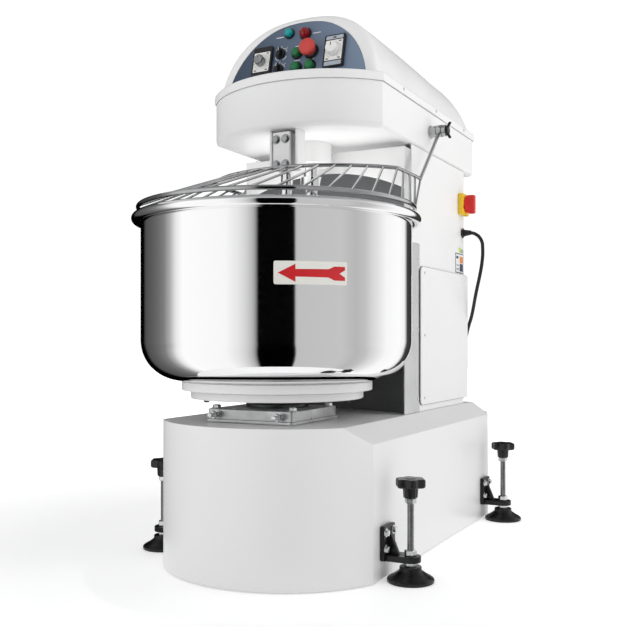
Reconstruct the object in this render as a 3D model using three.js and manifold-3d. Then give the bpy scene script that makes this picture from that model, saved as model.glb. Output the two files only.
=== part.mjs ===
// Commercial spiral dough mixer of the 80-litre class: turning bowl, spiral hook, breaker bar, wire guard.
// Millimetres, +Z up, front at -Y. Heights are measured from the floor. Inside the machine group, depths
// are measured from the bowl's axis; the group is shifted so that the origin is at the bottom centre.
import * as THREE from 'three';
import { mergeVertices } from 'three/addons/utils/BufferGeometryUtils.js';
import Module from 'manifold-3d';

const wasm = await Module();
wasm.setup();

// ---------- Driving dimensions ----------
const GAP = 0.3;
const SHEET = 3;

const BOWL = { radius: 300.5, wall: 3, bottom: 412.5, corner: 88, rimHeight: 764, bead: 10.5 };
const RIM_RADIUS = 320.8;
const BASE = { halfWidth: 260.4, arc: 284.4, arcY: 53.6, rear: 766, bottom: 3, top: 324.5 };
const BASE_CHAMFER = 37.5;
const SHAFT_Y = 165;

const COLUMN = { halfWidth: 217.7, front: 217.5, rear: 675, top: 970 - GAP, step: 735 };
const FLANGE_REAR = { upper: 264, lower: 318 };
const COVER = { front: 318, rear: 700, bottom: 341, top: 681, proud: 4 };
const RECESS_RADIUS = 330;

const HEAD = { halfWidth: 220, arc: 282, arcY: 260, rear: 749, bottom: 970, top: 1072 };
const SKIRT = { overhang: 4, top: 1093 };
const DOME = { halfWidth: 208.4, rise: 216.6, springing: 1045.4, ridgeRear: 560, rear: 750, power: 2.3 };
const PANEL = { footY: 77, footZ: 1091, lean: THREE.MathUtils.degToRad(12.9), halfWidth: 185.2, rise: 203,
  springing: -40, bottom: 5, thick: 3, power: 2.1 };
const ARCH_STEPS = 28;

const PIVOT = { y: 387, z: 1023 };
const GUARD = { frameZ: 882, ringZ: 789, halfWidth: 245, rearY: 251, arc: 300, arcY: 280, ring: 306, wires: 24 };
const GUARD_RING_END = THREE.MathUtils.degToRad(115.6);

const FOOT = { x: 317, frontY: 2, rearY: 709, pad: 49.2, rod: 7.5, armTop: 54, armBottom: 41 };
const CORD = { radius: 4.75, coilMean: 52, coilTurns: 3, coilX: 60, coilY: 846 };
const GLAND = { y: 650, z: 798 };
const SWITCH = { y: 642, z: 875, size: 58, depth: 14 };

const OVERALL_FRONT = -RIM_RADIUS;
const ORIGIN_Y = (OVERALL_FRONT + BASE.rear) / 2;

// ---------- Materials ----------
const finish = (color, roughness, metalness) => new THREE.MeshStandardMaterial({ color, roughness, metalness });
const WHITE = finish(0xf1f1ee, 0.32, 0);
const GREY_PAINT = finish(0x55575a, 0.5, 0);
const STAINLESS = finish(0xc9ccce, 0.18, 1);
const CHROME = finish(0xd8dadc, 0.12, 1);
const BLACK_CAST = finish(0x141415, 0.55, 0);
const DARK_STEEL = finish(0x3a3c3f, 0.4, 1);
const MOTOR_PAINT = finish(0x39536b, 0.5, 0);
const RUBBER = finish(0x101010, 0.7, 0);
const PANEL_BLUE = finish(0x5b6b80, 0.45, 0);
const BLACK_PLASTIC = finish(0x161618, 0.4, 0);
const WHITE_PLASTIC = finish(0xe9e9e6, 0.4, 0);
const RED_PLASTIC = finish(0xc22a24, 0.35, 0);
const GREEN_PLASTIC = finish(0x1e6b35, 0.35, 0);
const TEAL_PLASTIC = finish(0x10a8a4, 0.25, 0);
const YELLOW_PLASTIC = finish(0xe7c51b, 0.4, 0);
const CAST_METAL = finish(0x8d9093, 0.4, 1);

// ---------- Solids ----------
function toSolid(geometry) {
  const bare = geometry.clone();
  bare.deleteAttribute('normal');
  bare.deleteAttribute('uv');
  const merged = mergeVertices(bare, 1e-4);
  return new wasm.Manifold(new wasm.Mesh({
    numProp: 3,
    vertProperties: new Float32Array(merged.attributes.position.array),
    triVerts: new Uint32Array(merged.index.array),
  }));
}

function toGeometry(solid) {
  const mesh = solid.getMesh();
  const geometry = new THREE.BufferGeometry();
  geometry.setAttribute('position', new THREE.BufferAttribute(new Float32Array(mesh.vertProperties), 3));
  geometry.setIndex(new THREE.BufferAttribute(new Uint32Array(mesh.triVerts), 1));
  geometry.computeVertexNormals();
  return geometry;
}

const join = (first, ...rest) => toGeometry(rest.reduce((sum, g) => sum.add(toSolid(g)), toSolid(first)));
const cut = (first, ...rest) => toGeometry(rest.reduce((sum, g) => sum.subtract(toSolid(g)), toSolid(first)));
const common = (first, ...rest) => toGeometry(rest.reduce((sum, g) => sum.intersect(toSolid(g)), toSolid(first)));

const box = ([x0, x1], [y0, y1], [z0, z1]) => new THREE.BoxGeometry(x1 - x0, y1 - y0, z1 - z0)
  .translate((x0 + x1) / 2, (y0 + y1) / 2, (z0 + z1) / 2);

function prismZ(shape, [z0, z1], curveSegments = 12) {
  const options = { depth: z1 - z0, bevelEnabled: false, curveSegments };
  return new THREE.ExtrudeGeometry(shape, options).translate(0, 0, z0);
}

// The shape's own axes are X and Z.
function prismY(shape, [y0, y1], curveSegments = 12) {
  const options = { depth: y1 - y0, bevelEnabled: false, curveSegments };
  return new THREE.ExtrudeGeometry(shape, options).rotateX(Math.PI / 2).translate(0, y1, 0);
}

// The shape's own axes are Y and Z.
function prismX(shape, [x0, x1], curveSegments = 12) {
  const options = { depth: x1 - x0, bevelEnabled: false, curveSegments };
  const toYZ = new THREE.Matrix4().makeBasis(
    new THREE.Vector3(0, 1, 0), new THREE.Vector3(0, 0, 1), new THREE.Vector3(1, 0, 0));
  return new THREE.ExtrudeGeometry(shape, options).applyMatrix4(toYZ).translate(x0, 0, 0);
}

const rodZ = (radius, [z0, z1], x = 0, y = 0, sides = 24) =>
  new THREE.CylinderGeometry(radius, radius, z1 - z0, sides).rotateX(Math.PI / 2).translate(x, y, (z0 + z1) / 2);
const rodX = (radius, [x0, x1], y, z, sides = 24) =>
  new THREE.CylinderGeometry(radius, radius, x1 - x0, sides).rotateZ(-Math.PI / 2).translate((x0 + x1) / 2, y, z);
const rodY = (radius, [y0, y1], x, z, sides = 24) =>
  new THREE.CylinderGeometry(radius, radius, y1 - y0, sides).translate(x, (y0 + y1) / 2, z);

// A profile of [radius, height] pairs, turned about a vertical axis.
const turned = (profile, segments = 32) =>
  new THREE.LatheGeometry(profile.map(([r, h]) => new THREE.Vector2(r, h)), segments).rotateX(Math.PI / 2);

function arcPoints(x, y, radius, from, to, steps) {
  return Array.from({ length: steps + 1 }, (_, i) => {
    const angle = THREE.MathUtils.degToRad(from + ((to - from) * i) / steps);
    return [x + radius * Math.cos(angle), y + radius * Math.sin(angle)];
  });
}

// The corner radius of a flat-sided hole that clears a round shaft.
const clearance = (radius, sides = 20) => (radius + GAP) / Math.cos(Math.PI / sides);

const polygon = (points) => new THREE.Shape(points.map(([x, y]) => new THREE.Vector2(x, y)));

function disc(radius, sides) {
  const shape = new THREE.Shape();
  for (let i = 0; i < sides; i += 1) {
    const angle = (i / sides) * 2 * Math.PI;
    const point = [radius * Math.cos(angle), radius * Math.sin(angle)];
    if (i === 0) shape.moveTo(...point);
    else shape.lineTo(...point);
  }
  return shape;
}

function tube(curve, radius, sides, steps) {
  return new THREE.ExtrudeGeometry(disc(radius, sides), { steps, bevelEnabled: false, extrudePath: curve });
}

const vector = ([x, y, z]) => new THREE.Vector3(x, y, z);
const wire = (from, to, radius, sides = 6) => tube(new THREE.LineCurve3(vector(from), vector(to)), radius, sides, 1);

class Arc3 extends THREE.Curve {
  constructor(radius, centreY, z, from, to) {
    super();
    Object.assign(this, { radius, centreY, z, from, to });
  }

  // Angles are measured from the front.
  getPoint(t, target = new THREE.Vector3()) {
    const angle = this.from + (this.to - this.from) * t;
    return target.set(this.radius * Math.sin(angle), this.centreY - this.radius * Math.cos(angle), this.z);
  }
}

const machine = new THREE.Group();
machine.position.y = -ORIGIN_Y;

function part(name, geometry, material, parent = machine) {
  const mesh = new THREE.Mesh(geometry, material);
  mesh.name = name;
  parent.add(mesh);
  return mesh;
}

// The two rounded rear corners of a plan outline, from the right side to the left.
function roundCorners(shape, halfWidth, rear, corner) {
  const right = arcPoints(halfWidth - corner, rear - corner, corner, 0, 90, 3);
  const left = arcPoints(corner - halfWidth, rear - corner, corner, 90, 180, 3);
  for (const point of [...right, ...left]) shape.lineTo(...point);
}

// A plan outline with a bowed front and a square rear.
function bowedOutline(halfWidth, arc, arcY, rear, corner = 12) {
  const half = Math.asin(halfWidth / arc);
  const shape = new THREE.Shape();
  shape.moveTo(halfWidth, arcY - Math.sqrt(arc ** 2 - halfWidth ** 2));
  roundCorners(shape, halfWidth, rear, corner);
  shape.absarc(0, arcY, arc, -Math.PI / 2 - half, -Math.PI / 2 + half);
  return shape;
}

// ---------- Base ----------
function baseBody(inset, bottom) {
  const { halfWidth, arc, arcY, rear, top } = BASE;
  const w = halfWidth - inset;
  const t = top - inset;
  const c = BASE_CHAMFER - 0.59 * inset;
  const plan = prismZ(bowedOutline(w, arc - inset, arcY, rear - inset), [bottom, t], 16);
  const across = prismY(polygon([[-w, bottom], [w, bottom], [w, t - c], [w - c, t], [c - w, t], [-w, t - c]]),
    [-300, rear + 10]);
  const along = prismX(polygon([[-300, bottom], [rear - inset, bottom], [rear - inset, t - c],
    [rear - inset - c, t], [-300, t]]), [-300, 300]);
  return common(plan, across, along);
}

function makeBase() {
  const shell = cut(baseBody(0, BASE.bottom), baseBody(SHEET, BASE.bottom - 5),
    rodZ(60, [BASE.top - 10, BASE.top + 5]), box([-150, 150], [380, 620], [BASE.top - 10, BASE.top + 5]));
  part('base_shell', shell, WHITE);
}

function makePedestal() {
  const low = BASE.top + GAP;
  const plateTop = 353;
  const bolts = [[-86, -113], [101, -113], [-86, 52], [101, 52]].map(([x, y]) =>
    rodZ(9, [plateTop - 1, plateTop + 9], x, y, 6));
  const screws = [-72, 84].map((x) => join(rodY(5, [-164, -130], x, 341, 8), rodY(9, [-150, -143], x, 341, 6)));
  const body = join(box([-100, 115], [-138, 78], [low, 332]), box([-97, 112], [-133, 74], [331, plateTop]),
    ...bolts, ...screws);
  part('bearing_pedestal', cut(body, rodZ(30, [300, 380])), CAST_METAL);
  part('bowl_bearing_housing', turned([[26, plateTop + GAP], [70, plateTop + GAP], [70, 360], [56, 366],
    [56, 372.4], [26, 372.4], [26, plateTop + GAP]], 20), DARK_STEEL);
}

// ---------- Bowl and its drive ----------
function discProfile(radius, bottom, top) {
  const skin = 7;
  return [[0, bottom], [62, bottom], [62, top - skin], [radius - skin, top - skin], [radius - skin, bottom],
    [radius, bottom], [radius, top], [0, top]];
}

function makeBowl() {
  const { radius, wall, bottom, corner, rimHeight, bead } = BOWL;
  const inner = radius - wall;
  const beadX = RIM_RADIUS - bead;
  const profile = [[0, bottom], ...arcPoints(radius - corner, bottom + corner, corner, -90, 0, 5),
    ...arcPoints(beadX, rimHeight, bead, -159, 159, 6), [inner, rimHeight + 3.7],
    ...arcPoints(radius - corner, bottom + corner, corner - wall, 0, -90, 5), [0, bottom + wall]];
  part('bowl', turned(profile, 36), STAINLESS);
  part('turntable_upper', turned(discProfile(212, 391, bottom - GAP), 24), WHITE);
  part('turntable_lower', turned(discProfile(192.2, 373, 391 - GAP), 24), WHITE);
  part('bowl_shaft', rodZ(25, [196, 373 - GAP], 0, 0, 28), DARK_STEEL);
}

function pulley(x, y, radius, bore, [z0, z1]) {
  const hub = bore + 16;
  const rim = 12;
  const web = z0 + 12;
  const dished = radius - rim > hub + 12 ? [[radius - rim, z1], [radius - rim, web], [hub, web], [hub, z1]] : [];
  const profile = [[bore, z0], [radius, z0], [radius, z1], ...dished, [bore, z1], [bore, z0]];
  return turned(profile, 20).translate(x, y, 0);
}

// Enough room for a belt's flat-sided inner face to clear its round pulleys.
const BELT_GAP = 2;

// A belt round two pulleys whose axes stand on the machine's centre plane.
function belt(y0, r0, y1, r1, thickness, [z0, z1]) {
  const loop = (extra) => {
    const lean = Math.asin((r0 - r1) / (y1 - y0));
    const shape = new THREE.Shape();
    shape.absarc(0, y1, r1 + extra, lean, Math.PI - lean);
    shape.absarc(0, y0, r0 + extra, Math.PI - lean, 2 * Math.PI + lean);
    return shape;
  };
  return cut(prismZ(loop(thickness), [z0, z1], 8), prismZ(loop(BELT_GAP), [z0 - 1, z1 + 1], 8));
}

function motor(y, radius, [z0, z1], shaftTop) {
  const body = join(rodZ(radius, [z0, z1], 0, 0, 16), rodZ(radius + 12, [z1 - 12, z1], 0, 0, 16),
    rodZ(14, [z1 - 1, shaftTop], 0, 0, 12));
  return body.translate(0, y, 0);
}

const BOWL_DRIVE = { motorY: 420, big: 150, small: 45, level: [210, 250] };
const SPIRAL_DRIVE = { motorY: 480, big: 120, small: 50, level: [1000, 1044] };

function makeDrive(prefix, drive, axisY, axisBore, motorSpan, motorRadius) {
  const { motorY, big, small, level } = drive;
  const beltLevel = [level[0] + 3, level[1] - 3];
  part(`${prefix}_pulley`, pulley(0, axisY, big, clearance(axisBore), level), CAST_METAL);
  part(`${prefix}_motor_pulley`, pulley(0, motorY, small, clearance(14), level), CAST_METAL);
  part(`${prefix}_belt`, belt(axisY, big, motorY, small, 8, beltLevel), RUBBER);
  part(`${prefix}_motor`, motor(motorY, motorRadius, motorSpan, level[1] + 6), MOTOR_PAINT);
}

// ---------- Column ----------
function makeColumn() {
  const { halfWidth, front, rear, top, step } = COLUMN;
  const low = BASE.top + GAP;
  const outline = (inset, from) => {
    const shape = new THREE.Shape();
    shape.moveTo(halfWidth - inset, from);
    roundCorners(shape, halfWidth - inset, rear - inset, 12 - inset);
    shape.lineTo(inset - halfWidth, from);
    return shape;
  };
  const upperStart = FLANGE_REAR.upper + GAP;
  const shell = cut(prismZ(outline(0, upperStart), [low, top], 4),
    prismZ(outline(SHEET, upperStart - 5), [low - 5, top + 5], 4),
    box([-300, 300], [200, FLANGE_REAR.lower + GAP], [low - 5, step]));
  part('column_shell', shell, WHITE);

  const faceTop = 956;
  const archCrown = 908;
  const archFoot = 857;
  const rise = archCrown - archFoot;
  const archRadius = (halfWidth ** 2 + rise ** 2) / (2 * rise);
  const half = Math.asin(halfWidth / archRadius);
  const face = new THREE.Shape();
  face.moveTo(halfWidth, faceTop);
  face.lineTo(-halfWidth, faceTop);
  face.absarc(0, archCrown - archRadius, archRadius, Math.PI / 2 + half, Math.PI / 2 - half, true);
  const flanges = [-1, 1].flatMap((side) => {
    const x = side < 0 ? [-halfWidth, SHEET - halfWidth] : [halfWidth - SHEET, halfWidth];
    return [box(x, [front, FLANGE_REAR.upper], [step - 1, faceTop]),
      box(x, [front + 3.5, FLANGE_REAR.lower], [low, step - GAP])];
  });
  const cover = cut(join(prismY(face, [front, front + SHEET], 12), ...flanges),
    turned([[0, step], [RIM_RADIUS + 6, step], [RIM_RADIUS + 6, 800], [0, 800]], 48));
  part('column_front_cover', cover, WHITE);

  const sweep = Math.asin((halfWidth - SHEET - 0.5) / RECESS_RADIUS);
  const liner = new THREE.Shape();
  liner.absarc(0, 0, RECESS_RADIUS, Math.PI / 2 - sweep, Math.PI / 2 + sweep);
  liner.absarc(0, 0, RECESS_RADIUS - 2.7, Math.PI / 2 + sweep, Math.PI / 2 - sweep, true);
  part('column_recess_liner', prismZ(liner, [low, faceTop - 0.5], 14), GREY_PAINT);
}

function makeServiceCover() {
  const { front, rear, bottom, top, proud } = COVER;
  const inner = COLUMN.halfWidth + GAP;
  const outline = (w, back, r) => {
    const shape = new THREE.Shape();
    shape.moveTo(w, front);
    roundCorners(shape, w, back, r);
    shape.lineTo(-w, front);
    return shape;
  };
  const corner = 14;
  const window = (y0, z0, y1, z1) => {
    const shape = new THREE.Shape();
    shape.moveTo(y0 + corner, z0);
    shape.lineTo(y1, z0);
    shape.lineTo(y1, z1);
    shape.lineTo(y0 + corner, z1);
    shape.absarc(y0 + corner, z1 - corner, corner, Math.PI / 2, Math.PI);
    shape.absarc(y0 + corner, z0 + corner, corner, Math.PI, 1.5 * Math.PI);
    return shape;
  };
  const shell = cut(prismZ(outline(inner + proud, rear, 14), [bottom, top], 4),
    prismZ(outline(inner, rear - proud, 10), [bottom - 5, top - proud], 4).translate(0, -0.001, 0));
  const trimmed = common(shell, prismX(window(front, bottom, rear + 5, top), [-300, 300], 4));
  const open = cut(trimmed, box([-inner, inner], [300, COLUMN.rear + GAP], [bottom - 5, top + 5]));
  part('service_cover', open, WHITE);
}

// ---------- Head ----------
function makeHead() {
  const { halfWidth, arc, arcY, rear, bottom, top } = HEAD;
  const headBox = cut(prismZ(bowedOutline(halfWidth, arc, arcY, rear), [bottom, top], 16),
    prismZ(bowedOutline(halfWidth - SHEET, arc - SHEET, arcY, rear - SHEET, 9), [bottom + SHEET, top + 5], 16),
    rodZ(48, [bottom - 5, bottom + 10], 0, SHAFT_Y), box([-160, 160], [355, 640], [bottom - 5, bottom + 10]));
  part('head_box', headBox, WHITE);

  const skirtBottom = top + GAP;
  const over = SKIRT.overhang;
  const skirt = prismZ(bowedOutline(halfWidth + over, arc + over, arcY, rear + over, 14),
    [skirtBottom, SKIRT.top], 16);
  const skirtHollow = prismZ(bowedOutline(halfWidth - 1, arc - 1, arcY, rear - 1, 10),
    [skirtBottom - 5, SKIRT.top - SHEET], 16);
  const lid = cut(join(skirt, dome(0)), skirtHollow, dome(SHEET), panelOpening());
  part('head_lid', lid, WHITE);
}

// The upper part of a superellipse, cut off level at the given height.
function archShape(halfWidth, rise, springing, low, power) {
  const start = Math.asin(((low - springing) / rise) ** (power / 2));
  const points = [];
  for (let i = 0; i <= ARCH_STEPS; i += 1) {
    const t = start + ((Math.PI - 2 * start) * i) / ARCH_STEPS;
    const across = Math.sign(Math.cos(t)) * Math.abs(Math.cos(t)) ** (2 / power);
    points.push(new THREE.Vector2(across * halfWidth, springing + Math.sin(t) ** (2 / power) * rise));
  }
  return new THREE.Shape(points);
}

function dome(inset) {
  const low = SKIRT.top - 8;
  const rise = DOME.rise - inset;
  const ridge = DOME.springing + rise;
  const faceY = (z) => PANEL.footY + Math.tan(PANEL.lean) * (z - PANEL.footZ) + inset / Math.cos(PANEL.lean);
  const side = new THREE.Shape();
  side.moveTo(faceY(low), low);
  side.lineTo(DOME.rear - inset, low);
  side.absellipse(DOME.ridgeRear, SKIRT.top, DOME.rear - DOME.ridgeRear - inset, ridge - SKIRT.top, 0, Math.PI / 2);
  side.lineTo(faceY(ridge - 10) + 12, ridge);
  side.lineTo(faceY(ridge - 10), ridge - 10);
  const arch = archShape(DOME.halfWidth - inset, rise, DOME.springing, low, DOME.power);
  return common(prismY(arch, [40, DOME.rear + 5], 20), prismX(side, [-230, 230], 6));
}

// The control panel's own frame: x across, y up the slope, z out of the face.
const panelSlope = Math.PI / 2 - PANEL.lean;
const panelFrame = new THREE.Group();
panelFrame.position.set(0, PANEL.footY, PANEL.footZ);
panelFrame.rotation.x = panelSlope;
machine.add(panelFrame);

const panelOutline = (margin) => archShape(PANEL.halfWidth - margin, PANEL.rise - margin, PANEL.springing,
  PANEL.bottom + margin, PANEL.power);

function panelOpening() {
  return prismZ(panelOutline(0), [-20, 20], 18).applyMatrix4(
    new THREE.Matrix4().makeRotationX(panelSlope).setPosition(0, PANEL.footY, PANEL.footZ));
}

const CONTROLS = [
  { name: 'indicator_teal', x: -28, y: 136, r: 9.5, rise: 15, color: TEAL_PLASTIC },
  { name: 'indicator_red', x: 15.5, y: 128, r: 12, rise: 19, color: RED_PLASTIC },
  { name: 'start_button', x: -1, y: 81, r: 11, rise: 14, color: GREEN_PLASTIC },
  { name: 'bowl_button', x: 0, y: 44, r: 11, rise: 14, color: GREEN_PLASTIC },
  { name: 'jog_button', x: 37, y: 43, r: 11, rise: 14, color: GREEN_PLASTIC },
];
const SELECTORS = [{ name: 'speed_selector', x: -46, y: 86 }, { name: 'direction_selector', x: -47, y: 46 }];
const TIMERS = [{ name: 'slow_timer', x: -93, y: 69, grip: 12.5 },
  { name: 'fast_timer', x: 98, y: 69, grip: 14.5 }];
const TIMER = { width: 52, height: 80, depth: 9, knobRise: 17 };
const ESTOP = { x: 36, y: 80 };
const STEM = 5;

function makeControls() {
  const holes = [...CONTROLS, ...SELECTORS, ESTOP].map(({ x, y }) =>
    rodZ(STEM + 0.6, [-20, 20], x, y, 10));
  const plate = prismZ(panelOutline(0.5), [-PANEL.thick - 1, -1], 18);
  part('control_panel', cut(plate, ...holes), PANEL_BLUE, panelFrame);
  const face = -1 + GAP;
  for (const { name, x, y, r, rise, color } of CONTROLS) {
    const travel = name.includes('button') ? 4 : 0;
    const body = join(rodZ(r, [face + travel, rise], x, y, 16), rodZ(STEM, [-26, face + travel + 1], x, y, 8));
    part(name, body, color, panelFrame);
  }
  for (const { name, x, y } of SELECTORS) {
    const body = join(rodZ(12, [face, 6], x, y, 20), box([x - 4, x + 4], [y - 12, y + 12], [5, 15]),
      rodZ(STEM, [-26, face + 1], x, y, 12));
    part(name, body, BLACK_PLASTIC, panelFrame);
  }
  const mushroom = join(rodZ(13, [face + 6, 18], ESTOP.x, ESTOP.y, 20), rodZ(20, [17, 32], ESTOP.x, ESTOP.y, 24),
    rodZ(STEM, [-30, face + 7], ESTOP.x, ESTOP.y, 12));
  part('emergency_stop', mushroom, RED_PLASTIC, panelFrame);
  for (const { name, x, y, grip } of TIMERS) {
    const { width, height, depth, knobRise } = TIMER;
    const body = cut(box([x - width / 2, x + width / 2], [y - height / 2, y + height / 2], [face, depth]),
      rodZ(clearance(4, 12), [depth - 6, depth + 5], x, y, 12));
    part(name, body, WHITE_PLASTIC, panelFrame);
    const knob = join(rodZ(grip, [depth + GAP, depth + knobRise], x, y, 24),
      rodZ(4, [depth - 5, depth + 1], x, y, 12));
    part(`${name}_knob`, knob, name === 'fast_timer' ? WHITE_PLASTIC : CHROME, panelFrame);
  }
}

// ---------- Spiral, breaker bar ----------
class SpiralCurve extends THREE.Curve {
  getPoint(t, target = new THREE.Vector3()) {
    const grow = Math.min(1, t / 0.16);
    const shrink = t > 0.85 ? (t - 0.85) / 0.15 : 0;
    const radius = 101 * Math.sin((grow * Math.PI) / 2) - 26 * shrink;
    const angle = 2 * Math.PI * 1.35 * t - 0.4;
    return target.set(radius * Math.cos(angle), SHAFT_Y + radius * Math.sin(angle), 838 - 394 * t ** 1.1);
  }
}

function makeSpiral() {
  const shaftRadius = 20;
  const hook = join(rodZ(shaftRadius, [822, 1062], 0, SHAFT_Y, 20), tube(new SpiralCurve(), 14, 8, 40),
    rodZ(27, [864, 890], 0, SHAFT_Y, 20));
  part('spiral_hook', hook, STAINLESS);
  const bore = clearance(shaftRadius);
  const seat = clearance(30);
  part('spindle_bearing', turned([[bore, 925], [30, 925], [30, 985], [bore, 985], [bore, 925]], 20)
    .translate(0, SHAFT_Y, 0), CHROME);
  const floor = HEAD.bottom + SHEET + GAP;
  part('spindle_housing', turned([[seat, 919], [47.5, 919], [47.5, floor], [75, floor], [75, floor + 9],
    [47.5, floor + 9], [47.5, 992], [seat, 992], [seat, 919]], 20).translate(0, SHAFT_Y, 0), WHITE);
}

function makeBreakerBar() {
  const channel = cut(box([-22, 50], [2, 40], [882, HEAD.bottom - GAP]),
    box([-16, 44], [-10, 34], [870, HEAD.bottom + 5]));
  part('breaker_bracket', channel, WHITE);
  const bolts = [-1, 23].flatMap((x) => [892, 948].map((z) => rodY(8, [-10, -3], x, z, 6)));
  part('breaker_clamp', join(box([-9, 32], [-4, 4], [885, 964]), ...bolts), WHITE);
  const path = new THREE.CatmullRomCurve3([[14, 19, 900], [14, 19, 850], [10, 12, 760], [5, 4, 640],
    [5, 2, 520], [5, 2, 446]].map(vector));
  part('breaker_bar', join(box([-4, 32], [4 + GAP, 34 - GAP], [884, 966]), tube(path, 14, 10, 12)), STAINLESS);
}

// ---------- Guard ----------
function makeGuard() {
  const { frameZ, ringZ, halfWidth, rearY, arc, arcY, ring, wires } = GUARD;
  const rod = 4;
  const half = Math.asin(halfWidth / arc);
  const arcFoot = arcY - arc * Math.cos(half);
  const frameArc = new Arc3(arc, arcY, frameZ, -half, half);
  const ringArc = new Arc3(ring, 0, ringZ, -GUARD_RING_END, GUARD_RING_END);
  const sideRun = rearY - arcFoot;
  const run = 2 * sideRun + 2 * half * arc;
  const framePoint = (t) => {
    const along = t * run;
    if (along < sideRun) return [-halfWidth, rearY - along, frameZ];
    if (along > run - sideRun) return [halfWidth, rearY - (run - along), frameZ];
    return frameArc.getPoint((along - sideRun) / (run - 2 * sideRun)).toArray();
  };
  const wiresGeometry = Array.from({ length: wires + 1 }, (_, i) =>
    wire(framePoint(i / wires), ringArc.getPoint(i / wires).toArray(), 2.5, 5));
  const sides = [-1, 1].flatMap((s) => [
    wire([s * halfWidth, arcFoot - 2, frameZ], [s * halfWidth, rearY + 2, frameZ], rod),
    wire([s * halfWidth, rearY - 2, frameZ - 1], [s * halfWidth, PIVOT.y, PIVOT.z], 5.5, 8),
    rodX(13, s < 0 ? [-252, -239] : [239, 252], PIVOT.y, PIVOT.z, 16)]);
  part('guard', join(tube(frameArc, rod, 6, 16), tube(ringArc, 4.8, 6, 32), ...wiresGeometry, ...sides),
    STAINLESS);

  for (const [side, name] of [[-1, 'left'], [1, 'right']]) {
    const span = (a, b) => (side < 0 ? [-b, -a] : [a, b]);
    part(`guard_pivot_${name}`, join(rodX(16, span(HEAD.halfWidth + GAP, 225), PIVOT.y, PIVOT.z),
      rodX(11.5, span(224, 239 - GAP), PIVOT.y, PIVOT.z)), CHROME);
    const wings = box(span(258, 276), [PIVOT.y - 6, PIVOT.y + 6], [PIVOT.z - 21, PIVOT.z + 21]);
    part(`guard_knob_${name}`, join(rodX(11, span(252 + GAP, 266), PIVOT.y, PIVOT.z), wings), BLACK_PLASTIC);
  }
}

// ---------- Levelling feet ----------
function makeFoot(label, side, y) {
  const { x, pad, rod, armTop, armBottom } = FOOT;
  const frame = new THREE.Group();
  frame.position.set(side * x, y, 0);
  machine.add(frame);
  // In this frame the base's wall is on the inner side, at -side * (x - BASE.halfWidth).
  const wall = x - BASE.halfWidth - GAP;
  const inward = (from, to) => (side > 0 ? [-to, -from] : [from, to]);
  const arm = join(box(inward(0, wall), [-22, 22], [armBottom, armTop]), rodZ(22, [armBottom, armTop]));
  const plate = box(inward(wall - 10, wall), [-30, 30], [armBottom, 114]);
  const gussetEdge = side > 0 ? -wall + 5 : wall - 5;
  const gusset = prismY(polygon([[gussetEdge, armTop - 1], [side > 0 ? -24 : 24, armTop - 1],
    [gussetEdge, 110]]), [-5, 5]);
  const bolts = [-20, 20].flatMap((by) => [66, 100].map((bz) =>
    rodX(7, inward(wall - 17, wall - 9), by, bz, 6)));
  const nuts = [rodZ(13, [armBottom - 8, armBottom + 1], 0, 0, 6), rodZ(13, [armTop - 1, armTop + 12], 0, 0, 6)];
  part(`foot_bracket_${label}`, cut(join(arm, plate, gusset, ...bolts, ...nuts),
    rodZ(rod + 0.8, [0, 120], 0, 0, 10)), BLACK_CAST, frame);

  const padProfile = [[0, 0], [pad, 0], [pad, 8], [pad - 5, 12], [27, 22], [23, 26], [23, 32.5], [0, 32.5]];
  const star = polygon(Array.from({ length: 12 }, (_, i) => {
    const radius = i % 2 ? 26 : 32.5;
    return [radius * Math.cos((i * Math.PI) / 6), radius * Math.sin((i * Math.PI) / 6)];
  }));
  const knob = join(prismZ(star, [195, 214]), rodZ(15, [173, 196], 0, 0, 8), rodZ(12, [163, 174], 0, 0, 6));
  part(`leveling_foot_${label}`, join(turned(padProfile, 20), rodZ(rod, [31, 164], 0, 0, 8), knob),
    BLACK_CAST, frame);
}

// ---------- Electrical pieces ----------
function makeSwitch() {
  const wall = COLUMN.halfWidth + GAP;
  const { y, z, size, depth } = SWITCH;
  const plate = cut(box([wall, wall + depth], [y - size / 2, y + size / 2], [z - size / 2, z + size / 2]),
    rodX(clearance(8), [wall + 4, wall + depth + 5], y, z));
  part('mains_switch_plate', plate, YELLOW_PLASTIC);
  const face = wall + depth + GAP;
  part('mains_switch_handle', join(rodX(21, [face, face + 9], y, z), rodX(8, [face - 8, face + 1], y, z),
    box([face + 8, face + 25], [y - 8, y + 8], [z - 25, z + 25])), RED_PLASTIC);
}

// The lead's free stretch: out of the gland, down behind the column, over the base's rear edge, to the coil.
const CORD_ROUTE = [
  [244.6, 650, 797.4], [251, 650.1, 795.7], [257.6, 650.3, 792.6], [264.9, 650.6, 786.9], [270.9, 650.9, 779],
  [274.7, 651.2, 769.8], [276, 651.5, 760], [276, 652.5, 734], [272, 655, 705], [265, 659, 675],
  [256, 666, 645], [247, 676, 617], [238, 689, 590], [228, 702, 564], [217, 711, 538], [206, 717, 500],
  [196, 722, 450], [188, 729, 400], [183, 742, 360], [180, 760, 326], [178, 773, 290], [177, 777, 245], [177, 777, 190],
  [176, 777, 135], [175, 778, 90], [172, 780, 58], [163, 781.5, 32], [148, 782.5, 14], [130, 783, 6.2],
  [112, 783.3, 4.9], [85, 783.5, 4.9], [60, 783.5, 4.9],
];

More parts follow.
